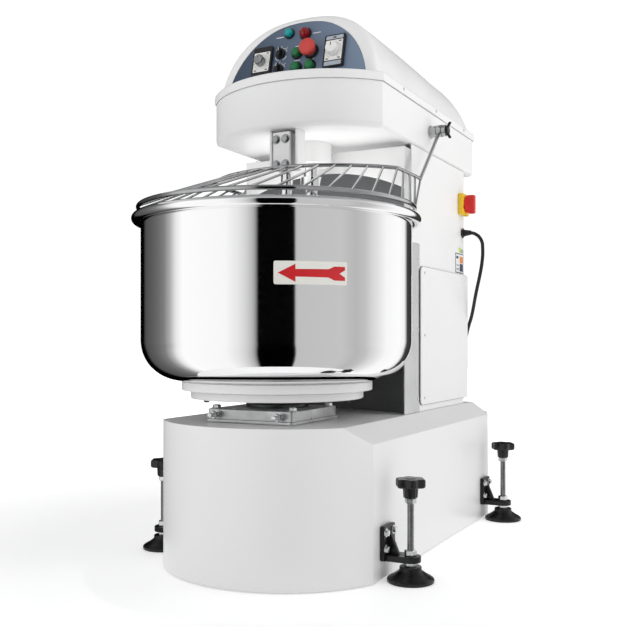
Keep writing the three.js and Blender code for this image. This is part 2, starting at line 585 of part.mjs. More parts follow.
function makeCord() {
  const wall = COLUMN.halfWidth + GAP;
  const { y, z } = GLAND;
  const gland = join(rodX(13.5, [wall, wall + 5], y, z, 16),
    new THREE.CylinderGeometry(6.2, 10, 21, 16).rotateZ(-Math.PI / 2).translate(wall + 14.5, y, z));
  part('cable_gland', gland, BLACK_PLASTIC);
  part('power_cord', tube(new THREE.CatmullRomCurve3(CORD_ROUTE.map(vector)), CORD.radius, 8, 44), RUBBER);
  const { radius, coilMean, coilTurns, coilX, coilY } = CORD;
  const inner = coilMean - radius - 0.5;
  const outer = coilMean + radius + 0.5;
  const height = coilTurns * 2 * radius + 1;
  part('cord_coil', turned([[inner, 0], [outer, 0], [outer, height], [inner, height], [inner, 0]], 28)
    .translate(coilX, coilY, 0), RUBBER);
}

function makePlug() {
  const frame = new THREE.Group();
  frame.position.set(CORD.coilX - CORD.coilMean - 10.5, CORD.coilY + 62, 0);
  machine.add(frame);
  const pins = [-6.35, 6.35].map((x) => box([x - 0.8, x + 0.8], [20, 38], [14.5, 21]));
  const ground = rodY(2.4, [20, 40], 0, 27, 12);
  const body = join(rodY(17, [-14, 21], 0, 19, 16), rodY(8, [-40, -13], 0, 19, 12),
    box([-12, 12], [-10, 18], [0, 12]), ...pins, ground);
  part('plug', body, BLACK_PLASTIC, frame);
}

makeBase();
makePedestal();
makeBowl();
makeDrive('bowl', BOWL_DRIVE, 0, 25, [20, 198], 70);
makeColumn();
makeServiceCover();
makeHead();
makeControls();
makeSpiral();
makeDrive('spiral', SPIRAL_DRIVE, SHAFT_Y, 20, [640, 985], 80);
makeBreakerBar();
makeGuard();
makeFoot('front_left', -1, FOOT.frontY);
makeFoot('front_right', 1, FOOT.frontY);
makeFoot('rear_left', -1, FOOT.rearY);
makeFoot('rear_right', 1, FOOT.rearY);
makeSwitch();
makeCord();
makePlug();
part('control_gear_box', box([-90, 90], [585, 655], [700, 900]), GREY_PAINT);

const mixer = new THREE.Group();
mixer.add(machine);
export default mixer;
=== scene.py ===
"""Commercial spiral dough mixer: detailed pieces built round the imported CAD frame.

Shapes are written in machine millimetres: heights from the floor, depths from the bowl's axis, front at -Y.
"""
from math import acos, asin, copysign, cos, degrees, pi, radians, sin, sqrt, tan

import bmesh
import bpy
from mathutils import Matrix, Vector


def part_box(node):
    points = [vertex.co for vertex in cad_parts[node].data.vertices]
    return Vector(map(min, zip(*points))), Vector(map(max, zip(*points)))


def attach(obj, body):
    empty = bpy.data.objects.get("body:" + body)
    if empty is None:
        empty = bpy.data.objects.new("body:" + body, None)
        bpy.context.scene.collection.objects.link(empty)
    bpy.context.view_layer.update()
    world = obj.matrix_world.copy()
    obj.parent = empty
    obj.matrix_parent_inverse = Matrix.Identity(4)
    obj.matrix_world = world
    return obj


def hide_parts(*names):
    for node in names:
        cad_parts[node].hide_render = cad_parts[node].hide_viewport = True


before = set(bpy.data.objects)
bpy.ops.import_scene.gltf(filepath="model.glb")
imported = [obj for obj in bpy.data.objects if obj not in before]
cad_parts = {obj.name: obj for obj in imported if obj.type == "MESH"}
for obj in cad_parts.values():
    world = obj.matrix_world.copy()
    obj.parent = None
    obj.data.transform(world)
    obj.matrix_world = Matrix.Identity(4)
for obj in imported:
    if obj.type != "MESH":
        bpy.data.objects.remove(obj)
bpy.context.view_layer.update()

MM = 0.001
BOWL_LOW, BOWL_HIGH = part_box("bowl")
AXIS_Y = (BOWL_LOW.y + BOWL_HIGH.y) / 2
TAU = 2 * pi
scene = bpy.context.scene


def place(point):
    """Machine millimetres to the row frame's metres."""
    return Vector((point[0] * MM, point[1] * MM + AXIS_Y, point[2] * MM))


def polar(radius, angle):
    return radius * cos(angle), radius * sin(angle)


def new_object(name, data):
    obj = bpy.data.objects.new(name, data)
    scene.collection.objects.link(obj)
    return obj


def put(node, **values):
    """Sets a node's sockets by name, with _ for each space."""
    for name, value in values.items():
        node.inputs[name.replace("_", " ")].default_value = value


# ---------- Camera ----------
camera_data = bpy.data.cameras.new("camera")
camera = new_object("camera", camera_data)
camera.location = (0.9745, -1.9115, 0.5)
camera.rotation_euler = (radians(90), 0, radians(27.6114))
camera_data.lens = 49.972
camera_data.sensor_width = 36
camera_data.shift_y = 0.0426
camera_data.clip_end = 60
scene.camera = camera
scene.view_settings.view_transform = "Standard"


# ---------- Materials ----------
EVEN = (1, 1, 1)
ROUND_BRUSHED = (2, 2, 260)
UP_BRUSHED = (260, 260, 3)
SIDE_BRUSHED = (1, 120, 120)


def two_tones(ramp, *stops):
    """Sets a colour ramp's two ends, each (position, colour)."""
    for element, (position, color) in zip(ramp.color_ramp.elements, stops):
        element.position = position
        element.color = (*color, 1)


def material(name, color, roughness, metallic=0, grain=0, bump=None, mottle=None, spread=0.06, stretch=EVEN,
             specular=0.5, transmission=0, ior=1.45, bump_stretch=None):
    """A shader with node-driven roughness, relief and colour.

    grain is the scale of the roughness variation, which reaches spread to each side, bump is (scale, distance
    in millimetres) and mottle is (scale, darker share) of the slow colour variation. stretch draws the grain
    and the bump out along an axis.
    """
    mat = bpy.data.materials.new(name)
    mat.use_nodes = True
    tree = mat.node_tree
    shader = tree.nodes["Principled BSDF"]
    link = tree.links.new
    put(shader, Base_Color=(*color, 1), Metallic=metallic, Roughness=roughness, Specular_IOR_Level=specular,
        Transmission_Weight=transmission, IOR=ior)
    coords = tree.nodes.new("ShaderNodeTexCoord")

    def noise(scale, drawn, detail):
        mapping = tree.nodes.new("ShaderNodeMapping")
        texture = tree.nodes.new("ShaderNodeTexNoise")
        put(mapping, Scale=drawn)
        put(texture, Scale=scale, Detail=detail)
        link(coords.outputs["Object"], mapping.inputs["Vector"])
        link(mapping.outputs["Vector"], texture.inputs["Vector"])
        return texture.outputs["Fac"]

    if grain:
        spread_map = tree.nodes.new("ShaderNodeMapRange")
        put(spread_map, From_Min=0.3, From_Max=0.7, To_Min=max(0.02, roughness - spread),
            To_Max=roughness + spread)
        link(noise(grain, stretch, 4), spread_map.inputs["Value"])
        link(spread_map.outputs["Result"], shader.inputs["Roughness"])
    if mottle:
        ramp = tree.nodes.new("ShaderNodeValToRGB")
        two_tones(ramp, (0.35, [c * (1 - mottle[1]) for c in color]), (0.65, color))
        link(noise(mottle[0], EVEN, 3), ramp.inputs["Fac"])
        link(ramp.outputs["Color"], shader.inputs["Base Color"])
    if bump:
        relief = tree.nodes.new("ShaderNodeBump")
        put(relief, Strength=1, Distance=bump[1] * MM)
        link(noise(bump[0], bump_stretch or stretch, 3), relief.inputs["Height"])
        link(relief.outputs["Normal"], shader.inputs["Normal"])
    return mat


# Each look's values, in the order of material()'s arguments; the first 15 are the record's own finishes.
LOOKS = {"white_paint": ((0.81, 0.81, 0.805), 0.32, 0, 9, (300, 0.002), (3, 0.015), 0.04),
         "grey_paint": ((0.14, 0.143, 0.147), 0.42, 0, 14, (700, 0.02), (5, 0.15)),
         "stainless": ((0.93, 0.93, 0.935), 0.05, 1, 6, (5, 0.001), None, 0.025, ROUND_BRUSHED),
         "chrome": ((0.86, 0.865, 0.87), 0.07, 1, 60, (300, 0.002), None, 0.03),
         "black_cast": ((0.007, 0.007, 0.0075), 0.3, 0, 60, (500, 0.03), (30, 0.3), 0.1, EVEN, 0.4),
         "dark_steel": ((0.14, 0.145, 0.15), 0.34, 1, 40, (500, 0.01), (25, 0.3)),
         "cast_metal": ((0.62, 0.625, 0.63), 0.34, 1, 30, (450, 0.03), (20, 0.25), 0.1),
         "motor_paint": ((0.05, 0.12, 0.2), 0.4, 0, 20, (600, 0.02), (8, 0.1)),
         "rubber": ((0.014, 0.014, 0.015), 0.5, 0, 90, (1200, 0.01), (40, 0.2)),
         "black_plastic": ((0.008, 0.008, 0.0085), 0.28, 0, 80, (1500, 0.008), (50, 0.2)),
         "white_plastic": ((0.8, 0.8, 0.78), 0.34, 0, 60, (1300, 0.006), (20, 0.04)),
         "red_plastic": ((0.66, 0.022, 0.018), 0.38, 0, 70, (1200, 0.012), (30, 0.12)),
         "green_plastic": ((0.008, 0.16, 0.05), 0.3, 0, 70, (1200, 0.008), (30, 0.15)),
         "teal_lens": ((0.0, 0.42, 0.42), 0.16, 0, 90, (900, 0.01), (60, 0.2), 0.06, EVEN, 0.5, 0.25, 1.49),
         "yellow_plastic": ((0.86, 0.55, 0.02), 0.36, 0, 70, (1300, 0.008), (25, 0.06)),
         "zinc_plated": ((0.72, 0.73, 0.74), 0.26, 1, 90, (600, 0.004), (60, 0.15), 0.08),
         "rod_steel": ((0.36, 0.365, 0.37), 0.22, 1, 90, (600, 0.003), (70, 0.2), 0.07),
         "polished_wire": ((0.48, 0.483, 0.488), 0.07, 1, 40, (260, 0.002), (18, 0.12), 0.05),
         # The lower strips' look below is the flanges' brushed steel made darker: painted shade on the strips
         # beside the bowl.
         "brushed_strip_painted_shade": ((0.72, 0.722, 0.725), 0.3, 1, 3, (3, 0.004), (12, 0.08), 0.08, UP_BRUSHED),
         "brushed_flange": ((0.8, 0.802, 0.805), 0.3, 1, 3, (3, 0.004), (12, 0.06), 0.08, UP_BRUSHED),
         "mushroom_red": ((0.58, 0.055, 0.045), 0.5, 0, 70, (700, 0.01), (30, 0.08)),
         "red_lens": ((0.3, 0.004, 0.01), 0.1, 0, 90, (900, 0.01), (60, 0.2), 0.06, EVEN, 0.5, 0.2, 1.49),
         "sticker_film": ((0.78, 0.77, 0.72), 0.35, 0, 80, (1500, 0.004), (14, 0.04)),
         "sticker_red": ((0.6, 0.01, 0.016), 0.35, 0, 80, (1500, 0.004), (20, 0.1)),
         "label_orange": ((0.75, 0.24, 0.03), 0.4, 0, 80, None, (60, 0.1)),
         "label_blue": ((0.012, 0.03, 0.08), 0.4, 0, 80, None, (60, 0.1)),
         "pale_strip": ((0.42, 0.46, 0.52), 0.4, 0, 80, None, (60, 0.08)),
         "label_grey": ((0.4, 0.42, 0.42), 0.45, 0, 80, None, (60, 0.1)),
         "label_green": ((0.6, 0.8, 0.08), 0.4, 0, 80, None, (60, 0.1)),
         # panel_blue's base colour is replaced by a ramp of painted light and shade across the panel.
         "panel_blue": ((0.12, 0.17, 0.25), 0.33, 0, 5, (900, 0.006), None, 0.06, SIDE_BRUSHED, 0.5, 0, 1.45,
                        EVEN)}
MATERIALS = {name: material(name, *values) for name, values in LOOKS.items()}


def paint_panel_shade(tree):
    """Paints light and shade into the panel's enamel: a colour ramp from dark on the panel's left to pale on
    its right.
    """
    coords, mapping, blend, ramp = (tree.nodes.new("ShaderNode" + kind) for kind in
                                    ("TexCoord", "Mapping", "TexGradient", "ValToRGB"))
    put(mapping, Location=(0.5, 0, -3.2), Scale=(2.3, 0, 2.8))
    two_tones(ramp, (0, (0.012, 0.026, 0.058)), (1, (0.2, 0.265, 0.37)))
    tree.links.new(coords.outputs["Object"], mapping.inputs["Vector"])
    tree.links.new(mapping.outputs["Vector"], blend.inputs["Vector"])
    tree.links.new(blend.outputs["Fac"], ramp.inputs["Fac"])
    tree.links.new(ramp.outputs["Color"], tree.nodes["Principled BSDF"].inputs["Base Color"])


paint_panel_shade(MATERIALS["panel_blue"].node_tree)

# ---------- Power cord ----------
CORD_RADIUS = 4.75
CORD_ROUTE = [(244.6, 650, 797.4), (251, 650.1, 795.7), (257.6, 650.3, 792.6), (264.9, 650.6, 786.9),
              (270.9, 650.9, 779), (274.7, 651.2, 769.8), (276, 651.5, 760), (276, 652.5, 734),
              (272, 655, 705), (265, 659, 675), (256, 666, 645), (247, 676, 617), (238, 689, 590),
              (228, 702, 564), (217, 711, 538), (206, 717, 500), (196, 722, 450), (188, 729, 400),
              (183, 742, 360), (180, 760, 326), (178, 773, 290), (177, 777, 245), (177, 777, 190),
              (176, 777, 135), (175, 778, 90), (172, 780, 58), (163, 781.5, 32), (148, 782.5, 14),
              (130, 783, 6.2), (112, 783.3, 4.9), (85, 783.5, 4.9)]
COIL_CENTRE = (60, 846)
COIL_MEAN = 52
COIL_TURNS = 2.25
COIL_OFFSET = 10.5
PLUG_AT = (-2.5, 908)
TURN_STEPS = 36
GROUND_GAP = 0.2
TURN_GAP = 0.05
PLUG_NECK = 40
PLUG_AXIS = 19
TIE_Z = 15


def smooth_path(points, step=4.0):
    """Evenly close points on a smooth curve through the given ones."""
    pts = [Vector(p) for p in points]
    pts = [2 * pts[0] - pts[1], *pts, 2 * pts[-1] - pts[-2]]
    out = []
    for a, b, c, d in zip(pts, pts[1:], pts[2:], pts[3:]):
        count = max(2, round((c - b).length / step))
        for i in range(count):
            t = i / count
            out.append(0.5 * (2 * b + (c - a) * t + (2 * a - 5 * b + 4 * c - d) * t * t
                              + (3 * b - a - 3 * c + d) * t ** 3))
    out.append(pts[-2])
    return out


def ease(t):
    """From 0 to 1 without a jerk."""
    t = min(1.0, max(0.0, t))
    return t * t * (3 - 2 * t)


def coil_points():
    """From the lead's end on the floor, clockwise on and up round the coil, then off it beside the plug."""
    cx, cy = COIL_CENTRE
    points = []
    for i in range(round(COIL_TURNS * TURN_STEPS) + 1):
        turn = i / TURN_STEPS
        leaving = ease((turn - COIL_TURNS + 0.5) / 0.5)
        radius = COIL_MEAN + COIL_OFFSET * max(0.0, 1 - turn * 2.2) + COIL_OFFSET * leaving
        rise = CORD_RADIUS + GROUND_GAP + max(0.0, turn - 0.35) * 2 * (CORD_RADIUS + TURN_GAP)
        x, y = polar(radius, -pi / 2 - turn * TAU)
        points.append((cx + x, cy + y, rise + (PLUG_AXIS - rise) * leaving))
    return points


lead_line = smooth_path(CORD_ROUTE + coil_points() + [(PLUG_AT[0], PLUG_AT[1] - PLUG_NECK - 1, PLUG_AXIS)])
cord_curve = bpy.data.curves.new("power_lead", "CURVE")
cord_curve.dimensions = "3D"
cord_curve.bevel_depth = CORD_RADIUS * MM
cord_curve.bevel_resolution = 5
cord_curve.use_fill_caps = True
spline = cord_curve.splines.new("POLY")
spline.points.add(len(lead_line) - 1)
for slot_point, p in zip(spline.points, lead_line):
    slot_point.co = (*place(p), 1)
lead = new_object("power_lead", cord_curve)
cord_curve.materials.append(MATERIALS["rubber"])
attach(lead, "frame")
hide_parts("power_cord", "cord_coil")


# ---------- Mesh building ----------
def frame_at(origin, normal, across=None):
    """A local frame whose z runs along normal; across gives its x."""
    z = Vector(normal).normalized()
    x = Vector(across) if across else (Vector((0, 0, 1)) if abs(z.z) < 0.9 else Vector((1, 0, 0)))
    x = (x - z * x.dot(z)).normalized()
    y = z.cross(x)
    rotation = Matrix((x, y, z)).transposed().to_4x4()
    return Matrix.Translation(Vector(origin)) @ rotation


class Shape:
    """Collects closed bodies, in machine millimetres, that become one piece."""

    def __init__(self):
        self.bm = bmesh.new()

    def add(self, verts, faces, at=None, bevel=0.0, segments=3, sharp=30):
        bm = bmesh.new()
        made = [bm.verts.new(v) for v in verts]
        for face in faces:
            try:
                bm.faces.new([made[i] for i in face])
            except ValueError:
                pass
        bmesh.ops.remove_doubles(bm, verts=bm.verts, dist=1e-3)
        bmesh.ops.recalc_face_normals(bm, faces=bm.faces)
        if bevel:
            round_edges(bm, bevel, segments, sharp)
        return self.take(bm, at)

    def take(self, bm, at=None):
        """Moves a finished bmesh into this shape."""
        if at is not None:
            bm.transform(at)
        spare = bpy.data.meshes.new("spare")
        bm.to_mesh(spare)
        bm.free()
        self.bm.from_mesh(spare)
        bpy.data.meshes.remove(spare)
        return self

    def loft(self, rings, closed=True, caps=True, **how):
        """Quads between rings of points that match one to one."""
        count = len(rings[0])
        verts = [p for ring in rings for p in ring]
        faces = []
        span = count if closed else count - 1
        for r in range(len(rings) - 1):
            for i in range(span):
                j = (i + 1) % count
                faces.append((r * count + i, r * count + j, (r + 1) * count + j, (r + 1) * count + i))
        if caps:
            faces.append(tuple(reversed(range(count))))
            faces.append(tuple(range((len(rings) - 1) * count, len(rings) * count)))
        return self.add(verts, faces, **how)

    def lathe(self, profile, at=None, sides=48, start=0.0, **how):
        """Turns [radius, height] pairs about the local z; a profile that ends where it starts is a ring."""
        caps = profile[0] != profile[-1] and max(profile[0][0], profile[-1][0]) > 0
        rings = [[(*polar(r, start + TAU * i / sides), h) for i in range(sides)] for r, h in profile]
        return self.loft(rings, caps=caps, at=at, **how)

    def prism(self, outline, low, high, at=None, **how):
        return self.loft([[(x, y, low) for x, y in outline], [(x, y, high) for x, y in outline]], at=at,
                         **how)

    def block(self, x, y, z, at=None, **how):
        return self.prism([(x[0], y[0]), (x[1], y[0]), (x[1], y[1]), (x[0], y[1])], z[0], z[1], at=at, **how)

    def tube(self, line, radius, sides=16, closed=False, round_ends=False):
        """Sweeps a circle along close points, without twist."""
        line = [Vector(p) for p in line]
        count = len(line)
        tangents = []
        for i in range(count):
            before = line[i - 1] if closed or i else line[0]
            after = line[(i + 1) % count] if closed or i < count - 1 else line[-1]
            tangents.append((after - before).normalized())
        side = tangents[0].orthogonal().normalized()
        circle = [polar(1, TAU * k / sides) for k in range(sides)]
        rings = []
        for i, (p, t) in enumerate(zip(line, tangents)):
            side = (side - t * side.dot(t)).normalized()
            up = t.cross(side)
            r = radius(i / (count - 1)) if callable(radius) else radius
            out = -t if i == 0 else t
            rows = [(0, r)]
            if round_ends and i in (0, count - 1):
                rows += [polar(r, a)[::-1] for a in map(radians, (25, 50, 72, 86))]
            circles = [[p + out * lift + reach * (side * c + up * s) for c, s in circle]
                       for lift, reach in rows]
            rings += reversed(circles) if i == 0 else circles
        if closed:
            rings.append(rings[0])
        return self.loft(rings, caps=not closed)

    def hex_bolt(self, centre, normal, radius, height=6, washer=True):
        at = frame_at(centre, normal)
        base = 0.0
        if washer:
            self.lathe([[0, 0], [radius * 1.35, 0], [radius * 1.35, 0.9], [radius * 1.25, 1.4], [0, 1.4]],
                       at=at, sides=24)
            base = 1.2
        self.lathe([[0, base], [radius, base], [radius, base + height * 0.82], [radius * 0.88, base + height],
                    [0, base + height]], at=at, sides=6, start=0.3)
        self.lathe([[radius * 0.86, base + height * 0.8], [radius * 0.86, base + height * 0.93],
                    [radius * 0.7, base + height * 1.04], [0, base + height * 1.05]], at=at, sides=24)
        return self

    def nut(self, centre, normal, radius, height):
        at = frame_at(centre, normal)
        return self.lathe([[radius * 0.88, 0], [radius, height * 0.14], [radius, height * 0.86],
                           [radius * 0.88, height]], at=at, sides=6, start=0.2)

    def screw(self, centre, normal, radius=3.5):
        """A pan head with a cross recess, on a thin washer."""
        at = frame_at(centre, normal)
        dome = [[radius * cos(a), 0.5 + radius * 0.5 * sin(a)] for a in map(radians, (0, 20, 40, 58))]
        self.lathe([[0, 0], [radius * 1.25, 0], [radius * 1.25, 0.5], *dome, [radius * 0.3, radius * 0.42],
                    [radius * 0.12, radius * 0.1], [0, radius * 0.1]], at=at, sides=16)
        return self

    def piece(self, name, finish, body="frame", stands_for=(), look=None, smooth=32, thickness=0.0,
              edge=0.0):
        """Turns what was collected into one piece that rides on a body.

        finish names the material, and look the material where it isn't finish's own.
        """
        mesh = bpy.data.meshes.new(name)
        self.bm.transform(Matrix.Translation((0, AXIS_Y, 0)) @ Matrix.Scale(MM, 4))
        self.bm.to_mesh(mesh)
        self.bm.free()
        mesh.materials.append(MATERIALS[look or finish])
        mesh.shade_smooth()
        mesh.set_sharp_from_angle(angle=radians(smooth))
        obj = new_object(name, mesh)
        if thickness:
            skin = obj.modifiers.new("thickness", "SOLIDIFY")
            skin.thickness = thickness * MM
            skin.offset = -1
            skin.use_even_offset = True
        if edge:
            soften = obj.modifiers.new("edges", "BEVEL")
            soften.width = edge * MM
            soften.segments = 2
            soften.limit_method = "ANGLE"
            soften.angle_limit = radians(40)
        weighted = obj.modifiers.new("normals", "WEIGHTED_NORMAL")
        weighted.keep_sharp = True
        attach(obj, body)
        if stands_for:
            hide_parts(*stands_for)
        return obj


def round_edges(bm, offset, segments, sharp):
    edges = [e for e in bm.edges if len(e.link_faces) == 2 and e.calc_face_angle(0) > radians(sharp)]
    bmesh.ops.bevel(bm, geom=edges, offset=offset, segments=segments, profile=0.5, affect="EDGES",
                    clamp_overlap=True)


def arc(cx, cy, radius, start, stop, steps):
    """Points on a circle between two angles in degrees."""
    angles = [radians(start + (stop - start) * i / steps) for i in range(steps + 1)]
    return [(cx + radius * cos(a), cy + radius * sin(a)) for a in angles]


def star(count, outer, notch):
    """Plan points of a fluted knob: every other point lies a notch further in."""
    return [polar(outer - notch * (i % 2), TAU * i / count) for i in range(count)]


def around_bowl(radius, bearing, height=None):
    """A point at a bearing in degrees from the bowl's front, to the right."""
    point = radius * sin(radians(bearing)), -radius * cos(radians(bearing))
    return point if height is None else (*point, height)


def bowed(half_width, bow, bow_y, rear, corner, inset=0.0, crease=6.0):
    """A plan outline with a bowed front, counter-clockwise from the front's left end."""
    w, r, back = half_width - inset, bow - inset, rear - inset
    corner = max(1.5, corner - inset)
    crease = max(1.5, crease - inset)
    cx = w - crease
    cy = bow_y - sqrt((r - crease) ** 2 - cx ** 2)
    half = degrees(asin(cx / (r - crease)))
    front = arc(0, bow_y, r, -90 - half, -90 + half, 64)
    right = arc(cx, cy, crease, -90 + half, 0, 5)[1:]
    rear_right = arc(w - corner, back - corner, corner, 0, 90, 8)
    rear_left = arc(corner - w, back - corner, corner, 90, 180, 8)
    left = arc(-cx, cy, crease, 180, 270 - half, 5)[:-1]
    return front + right + rear_right + rear_left + left


def rounded_box(x0, y0, x1, y1, corner, steps=5):
    corners = ((x1 - corner, y0 + corner), (x1 - corner, y1 - corner), (x0 + corner, y1 - corner),
               (x0 + corner, y0 + corner))
    return [p for i, (x, y) in enumerate(corners) for p in arc(x, y, corner, 90 * i - 90, 90 * i, steps)]


UP = (0, 0, 1)
HALF_TURN = Matrix.Rotation(pi, 4, "Z")
QUARTER = (0, 15, 30, 45, 60, 75, 90)
FRONT_PLANE = Matrix(((1, 0, 0, 0), (0, 0, -1, 0), (0, 1, 0, 0), (0, 0, 0, 1)))
SIDE_PLANE = Matrix(((0, 0, 1, 0), (1, 0, 0, 0), (0, 1, 0, 0), (0, 0, 0, 1)))

# ---------- Base ----------
BASE = {"half_width": 260.4, "bow": 284.4, "bow_y": 53.6, "rear": 766, "bottom": 3, "top": 324.5}
CHAMFER = 37.5


def make_base():
    outline = bowed(BASE["half_width"], BASE["bow"], BASE["bow_y"], BASE["rear"], 12)
    bm = bmesh.new()
    low = [bm.verts.new((x, y, BASE["bottom"])) for x, y in outline]
    high = [bm.verts.new((x, y, BASE["top"])) for x, y in outline]
    for i in range(len(outline)):
        j = (i + 1) % len(outline)
        bm.faces.new((low[i], low[j], high[j], high[i]))
    bm.faces.new(high)
    bm.faces.new(reversed(low))
    shoulder = BASE["top"] - CHAMFER
    for x, y in ((1, 0), (-1, 0), (0, 1)):
        point = (x * BASE["half_width"], y * BASE["rear"], shoulder)
        cut = bmesh.ops.bisect_plane(bm, geom=[*bm.verts, *bm.edges, *bm.faces], plane_co=point,
                                     plane_no=Vector((x, y, 1)).normalized(), clear_outer=True)
        edges = [e for e in cut["geom_cut"] if isinstance(e, bmesh.types.BMEdge)]
        bmesh.ops.edgeloop_fill(bm, edges=edges)
    bmesh.ops.recalc_face_normals(bm, faces=bm.faces)
    bmesh.ops.delete(bm, geom=[f for f in bm.faces if f.normal.z < -0.9], context="FACES_ONLY")
    round_edges(bm, 5, 3, 20)
    Shape().take(bm).piece("base_housing", "white_paint", stands_for=["base_shell"], thickness=3, smooth=30)
    screws = Shape()
    for x in (52.7, -52.7):
        screws.screw((x, 284.3, BASE["top"]), UP, 4)
    screws.piece("base_screws", "chrome")


def make_pedestal():
    low, plate_top = BASE["top"] + 0.3, 353
    shape = Shape()
    shape.prism(rounded_box(-100, -138, 115, 78, 8), low, 332, bevel=1.5)
    shape.prism(rounded_box(-97, -133, 112, 74, 6), 331, plate_top, bevel=1.5)
    shape.piece("pedestal_plates", "cast_metal", stands_for=["bearing_pedestal"])
    bolts = Shape()
    for x, y in ((-86, -113), (101, -113), (-86, 52), (101, 52)):
        bolts.hex_bolt((x, y, plate_top), UP, 9, 6.5)
    for x in (-72, 84):
        rod = [[5 - 0.45 * (i % 2), 2 + i * 0.9] for i in range(33)]
        bolts.lathe([[0, 0], [4, 0], *rod, [0, 32]], at=frame_at((x, -132, 341), (0, -1, 0)), sides=16)
        bolts.nut((x, -143, 341), (0, -1, 0), 9, 7)
    bolts.piece("pedestal_bolts", "chrome", look="zinc_plated")
    Shape().lathe([[26, 353.3], [69, 353.3], [70, 354.3], [70, 359], [69, 360.2], [57, 365.5], [56, 366.4],
                   [56, 371.6], [55, 372.4], [27, 372.4], [26, 371.4], [26, 353.3]], sides=72) \
        .piece("bowl_bearing_cap", "dark_steel", stands_for=["bowl_bearing_housing"])


# ---------- Bowl ----------
BOWL = {"radius": 300.5, "wall": 3, "bottom": 412.5, "corner": 88, "rim": 764, "bead": 10.5, "bead_r": 310.3}


def make_bowl():
    radius, corner, wall, bottom = BOWL["radius"], BOWL["corner"], BOWL["wall"], BOWL["bottom"]
    foot = radius - corner
    inner = radius - wall
    outer_wall = [(radius, bottom + corner + 12 + i * 24) for i in range(10)]
    profile = [(0, bottom), (foot * 0.5, bottom), *arc(foot, bottom + corner, corner, -90, 0, 24),
               *outer_wall, *arc(BOWL["bead_r"], BOWL["rim"], BOWL["bead"], -159, 159, 30),
               (inner, BOWL["rim"] + 3.7), (inner, 700), (inner, 600),
               *arc(foot, bottom + corner, corner - wall, 0, -90, 20), (foot * 0.5, bottom + wall),
               (0, bottom + wall)]
    Shape().lathe([list(p) for p in profile], sides=192) \
        .piece("mixing_bowl", "stainless", "bowl", ["bowl"], smooth=50)
    upper = [[0, 391], [62, 391], [62, 405], [205, 405], [205, 391.6], [206, 391], [210.5, 391], [212, 392.5],
             [212, 409], [209, 412.2], [0, 412.2]]
    lower = [[0, 373], [62, 373], [62, 383.7], [185.2, 383.7], [185.2, 373.6], [186, 373], [190.7, 373],
             [192.2, 374.5], [192.2, 388.7], [190.2, 390.7], [0, 390.7]]
    Shape().lathe(upper, sides=128).piece("turntable_top_disc", "white_paint", "bowl", ["turntable_upper"])
    Shape().lathe(lower, sides=128).piece("turntable_bottom_disc", "white_paint", "bowl", ["turntable_lower"])
    bolts = Shape()
    for angle in (-28, 88, 210):
        bolts.hex_bolt(around_bowl(177, angle, 383.6), (0, 0, -1), 6.5, 15, washer=False)
    bolts.piece("turntable_bolts", "dark_steel", "bowl")


STICKER = {"start": 28.57, "stop": 56.6, "low": 605.9, "high": 650.7, "corner": 4.0, "lift": 0.05, "top": 0.3}
ARROW_Z = 628.0
ARROW_LIFT, ARROW_TOP = 0.32, 0.5
# The arrow in straight-edged spans: start and stop bearing, then its lower and upper edge at each, and steps.
ARROW = ((30.1, 36.5, 0, -17.2, 0, 17.2, 12), (36.5, 49.0, -7.2, -8, 7.2, 8, 24),
         (49.0, 51.4, -8, -13.5, 8, 13.5, 6), (51.4, 53.4, -13.5, -13.5, 13.5, 13.5, 4),
         (53.4, 55.7, 0, 7, 13.5, 13.5, 8), (53.4, 55.7, -13.5, -13.5, 0, -7, 8))


def make_sticker():
    """The turning-direction arrow: a pale film with a red arrow, wrapped on the bowl."""
    skin = BOWL["radius"]

    def band(shape, start, stop, low, high, lift, top, steps):
        rings = []
        for i in range(steps + 1):
            t = i / steps
            angle = start + (stop - start) * t
            rings.append([around_bowl(skin + rise, angle, edge(t))
                          for rise, edge in ((lift, low), (top, low), (top, high), (lift, high))])
        shape.loft(rings)

    start, stop, low, high, corner, lift, top = STICKER.values()
    turn = corner / skin / radians(1)
    curve_in = lambda t: corner * (1 - sin(acos(1 - t)))
    film = Shape()
    for a, b, cut, steps in ((start, start + turn, curve_in, 6), (start + turn, stop - turn, lambda t: 0, 40),
                             (stop - turn, stop, lambda t: curve_in(1 - t), 6)):
        band(film, a, b, lambda t: low + cut(t), lambda t: high - cut(t), lift, top, steps)
    film.piece("direction_sticker", "white_plastic", "bowl", look="sticker_film")
    arrow = Shape()
    for a, b, foot, foot_end, head, head_end, steps in ARROW:
        band(arrow, a, b, lambda t: ARROW_Z + foot + (foot_end - foot) * t,
             lambda t: ARROW_Z + head + (head_end - head) * t, ARROW_LIFT, ARROW_TOP, steps)
    arrow.piece("direction_arrow", "red_plastic", "bowl", look="sticker_red")


# ---------- Column ----------
COLUMN = {"half_width": 217.7, "front": 217.5, "rear": 675, "top": 969.7, "step": 735}
FACE_ARCH = {"top": 908, "rise": 51, "foot": 956}
FLANGE_EDGE = 264
LINER_RADIUS = 330
COVER = {"front": 318, "rear": 700, "bottom": 341, "top": 681}


def u_path(half_width, front, rear, corner, extra=()):
    """Plan points of a U that is open at the front, from the right side round to the left."""
    side = [(half_width, y) for y in (front, *extra)]
    back = arc(half_width - corner, rear - corner, corner, 0, 90, 8)
    half = side + back
    return half + [(-x, y) for x, y in reversed(half)]


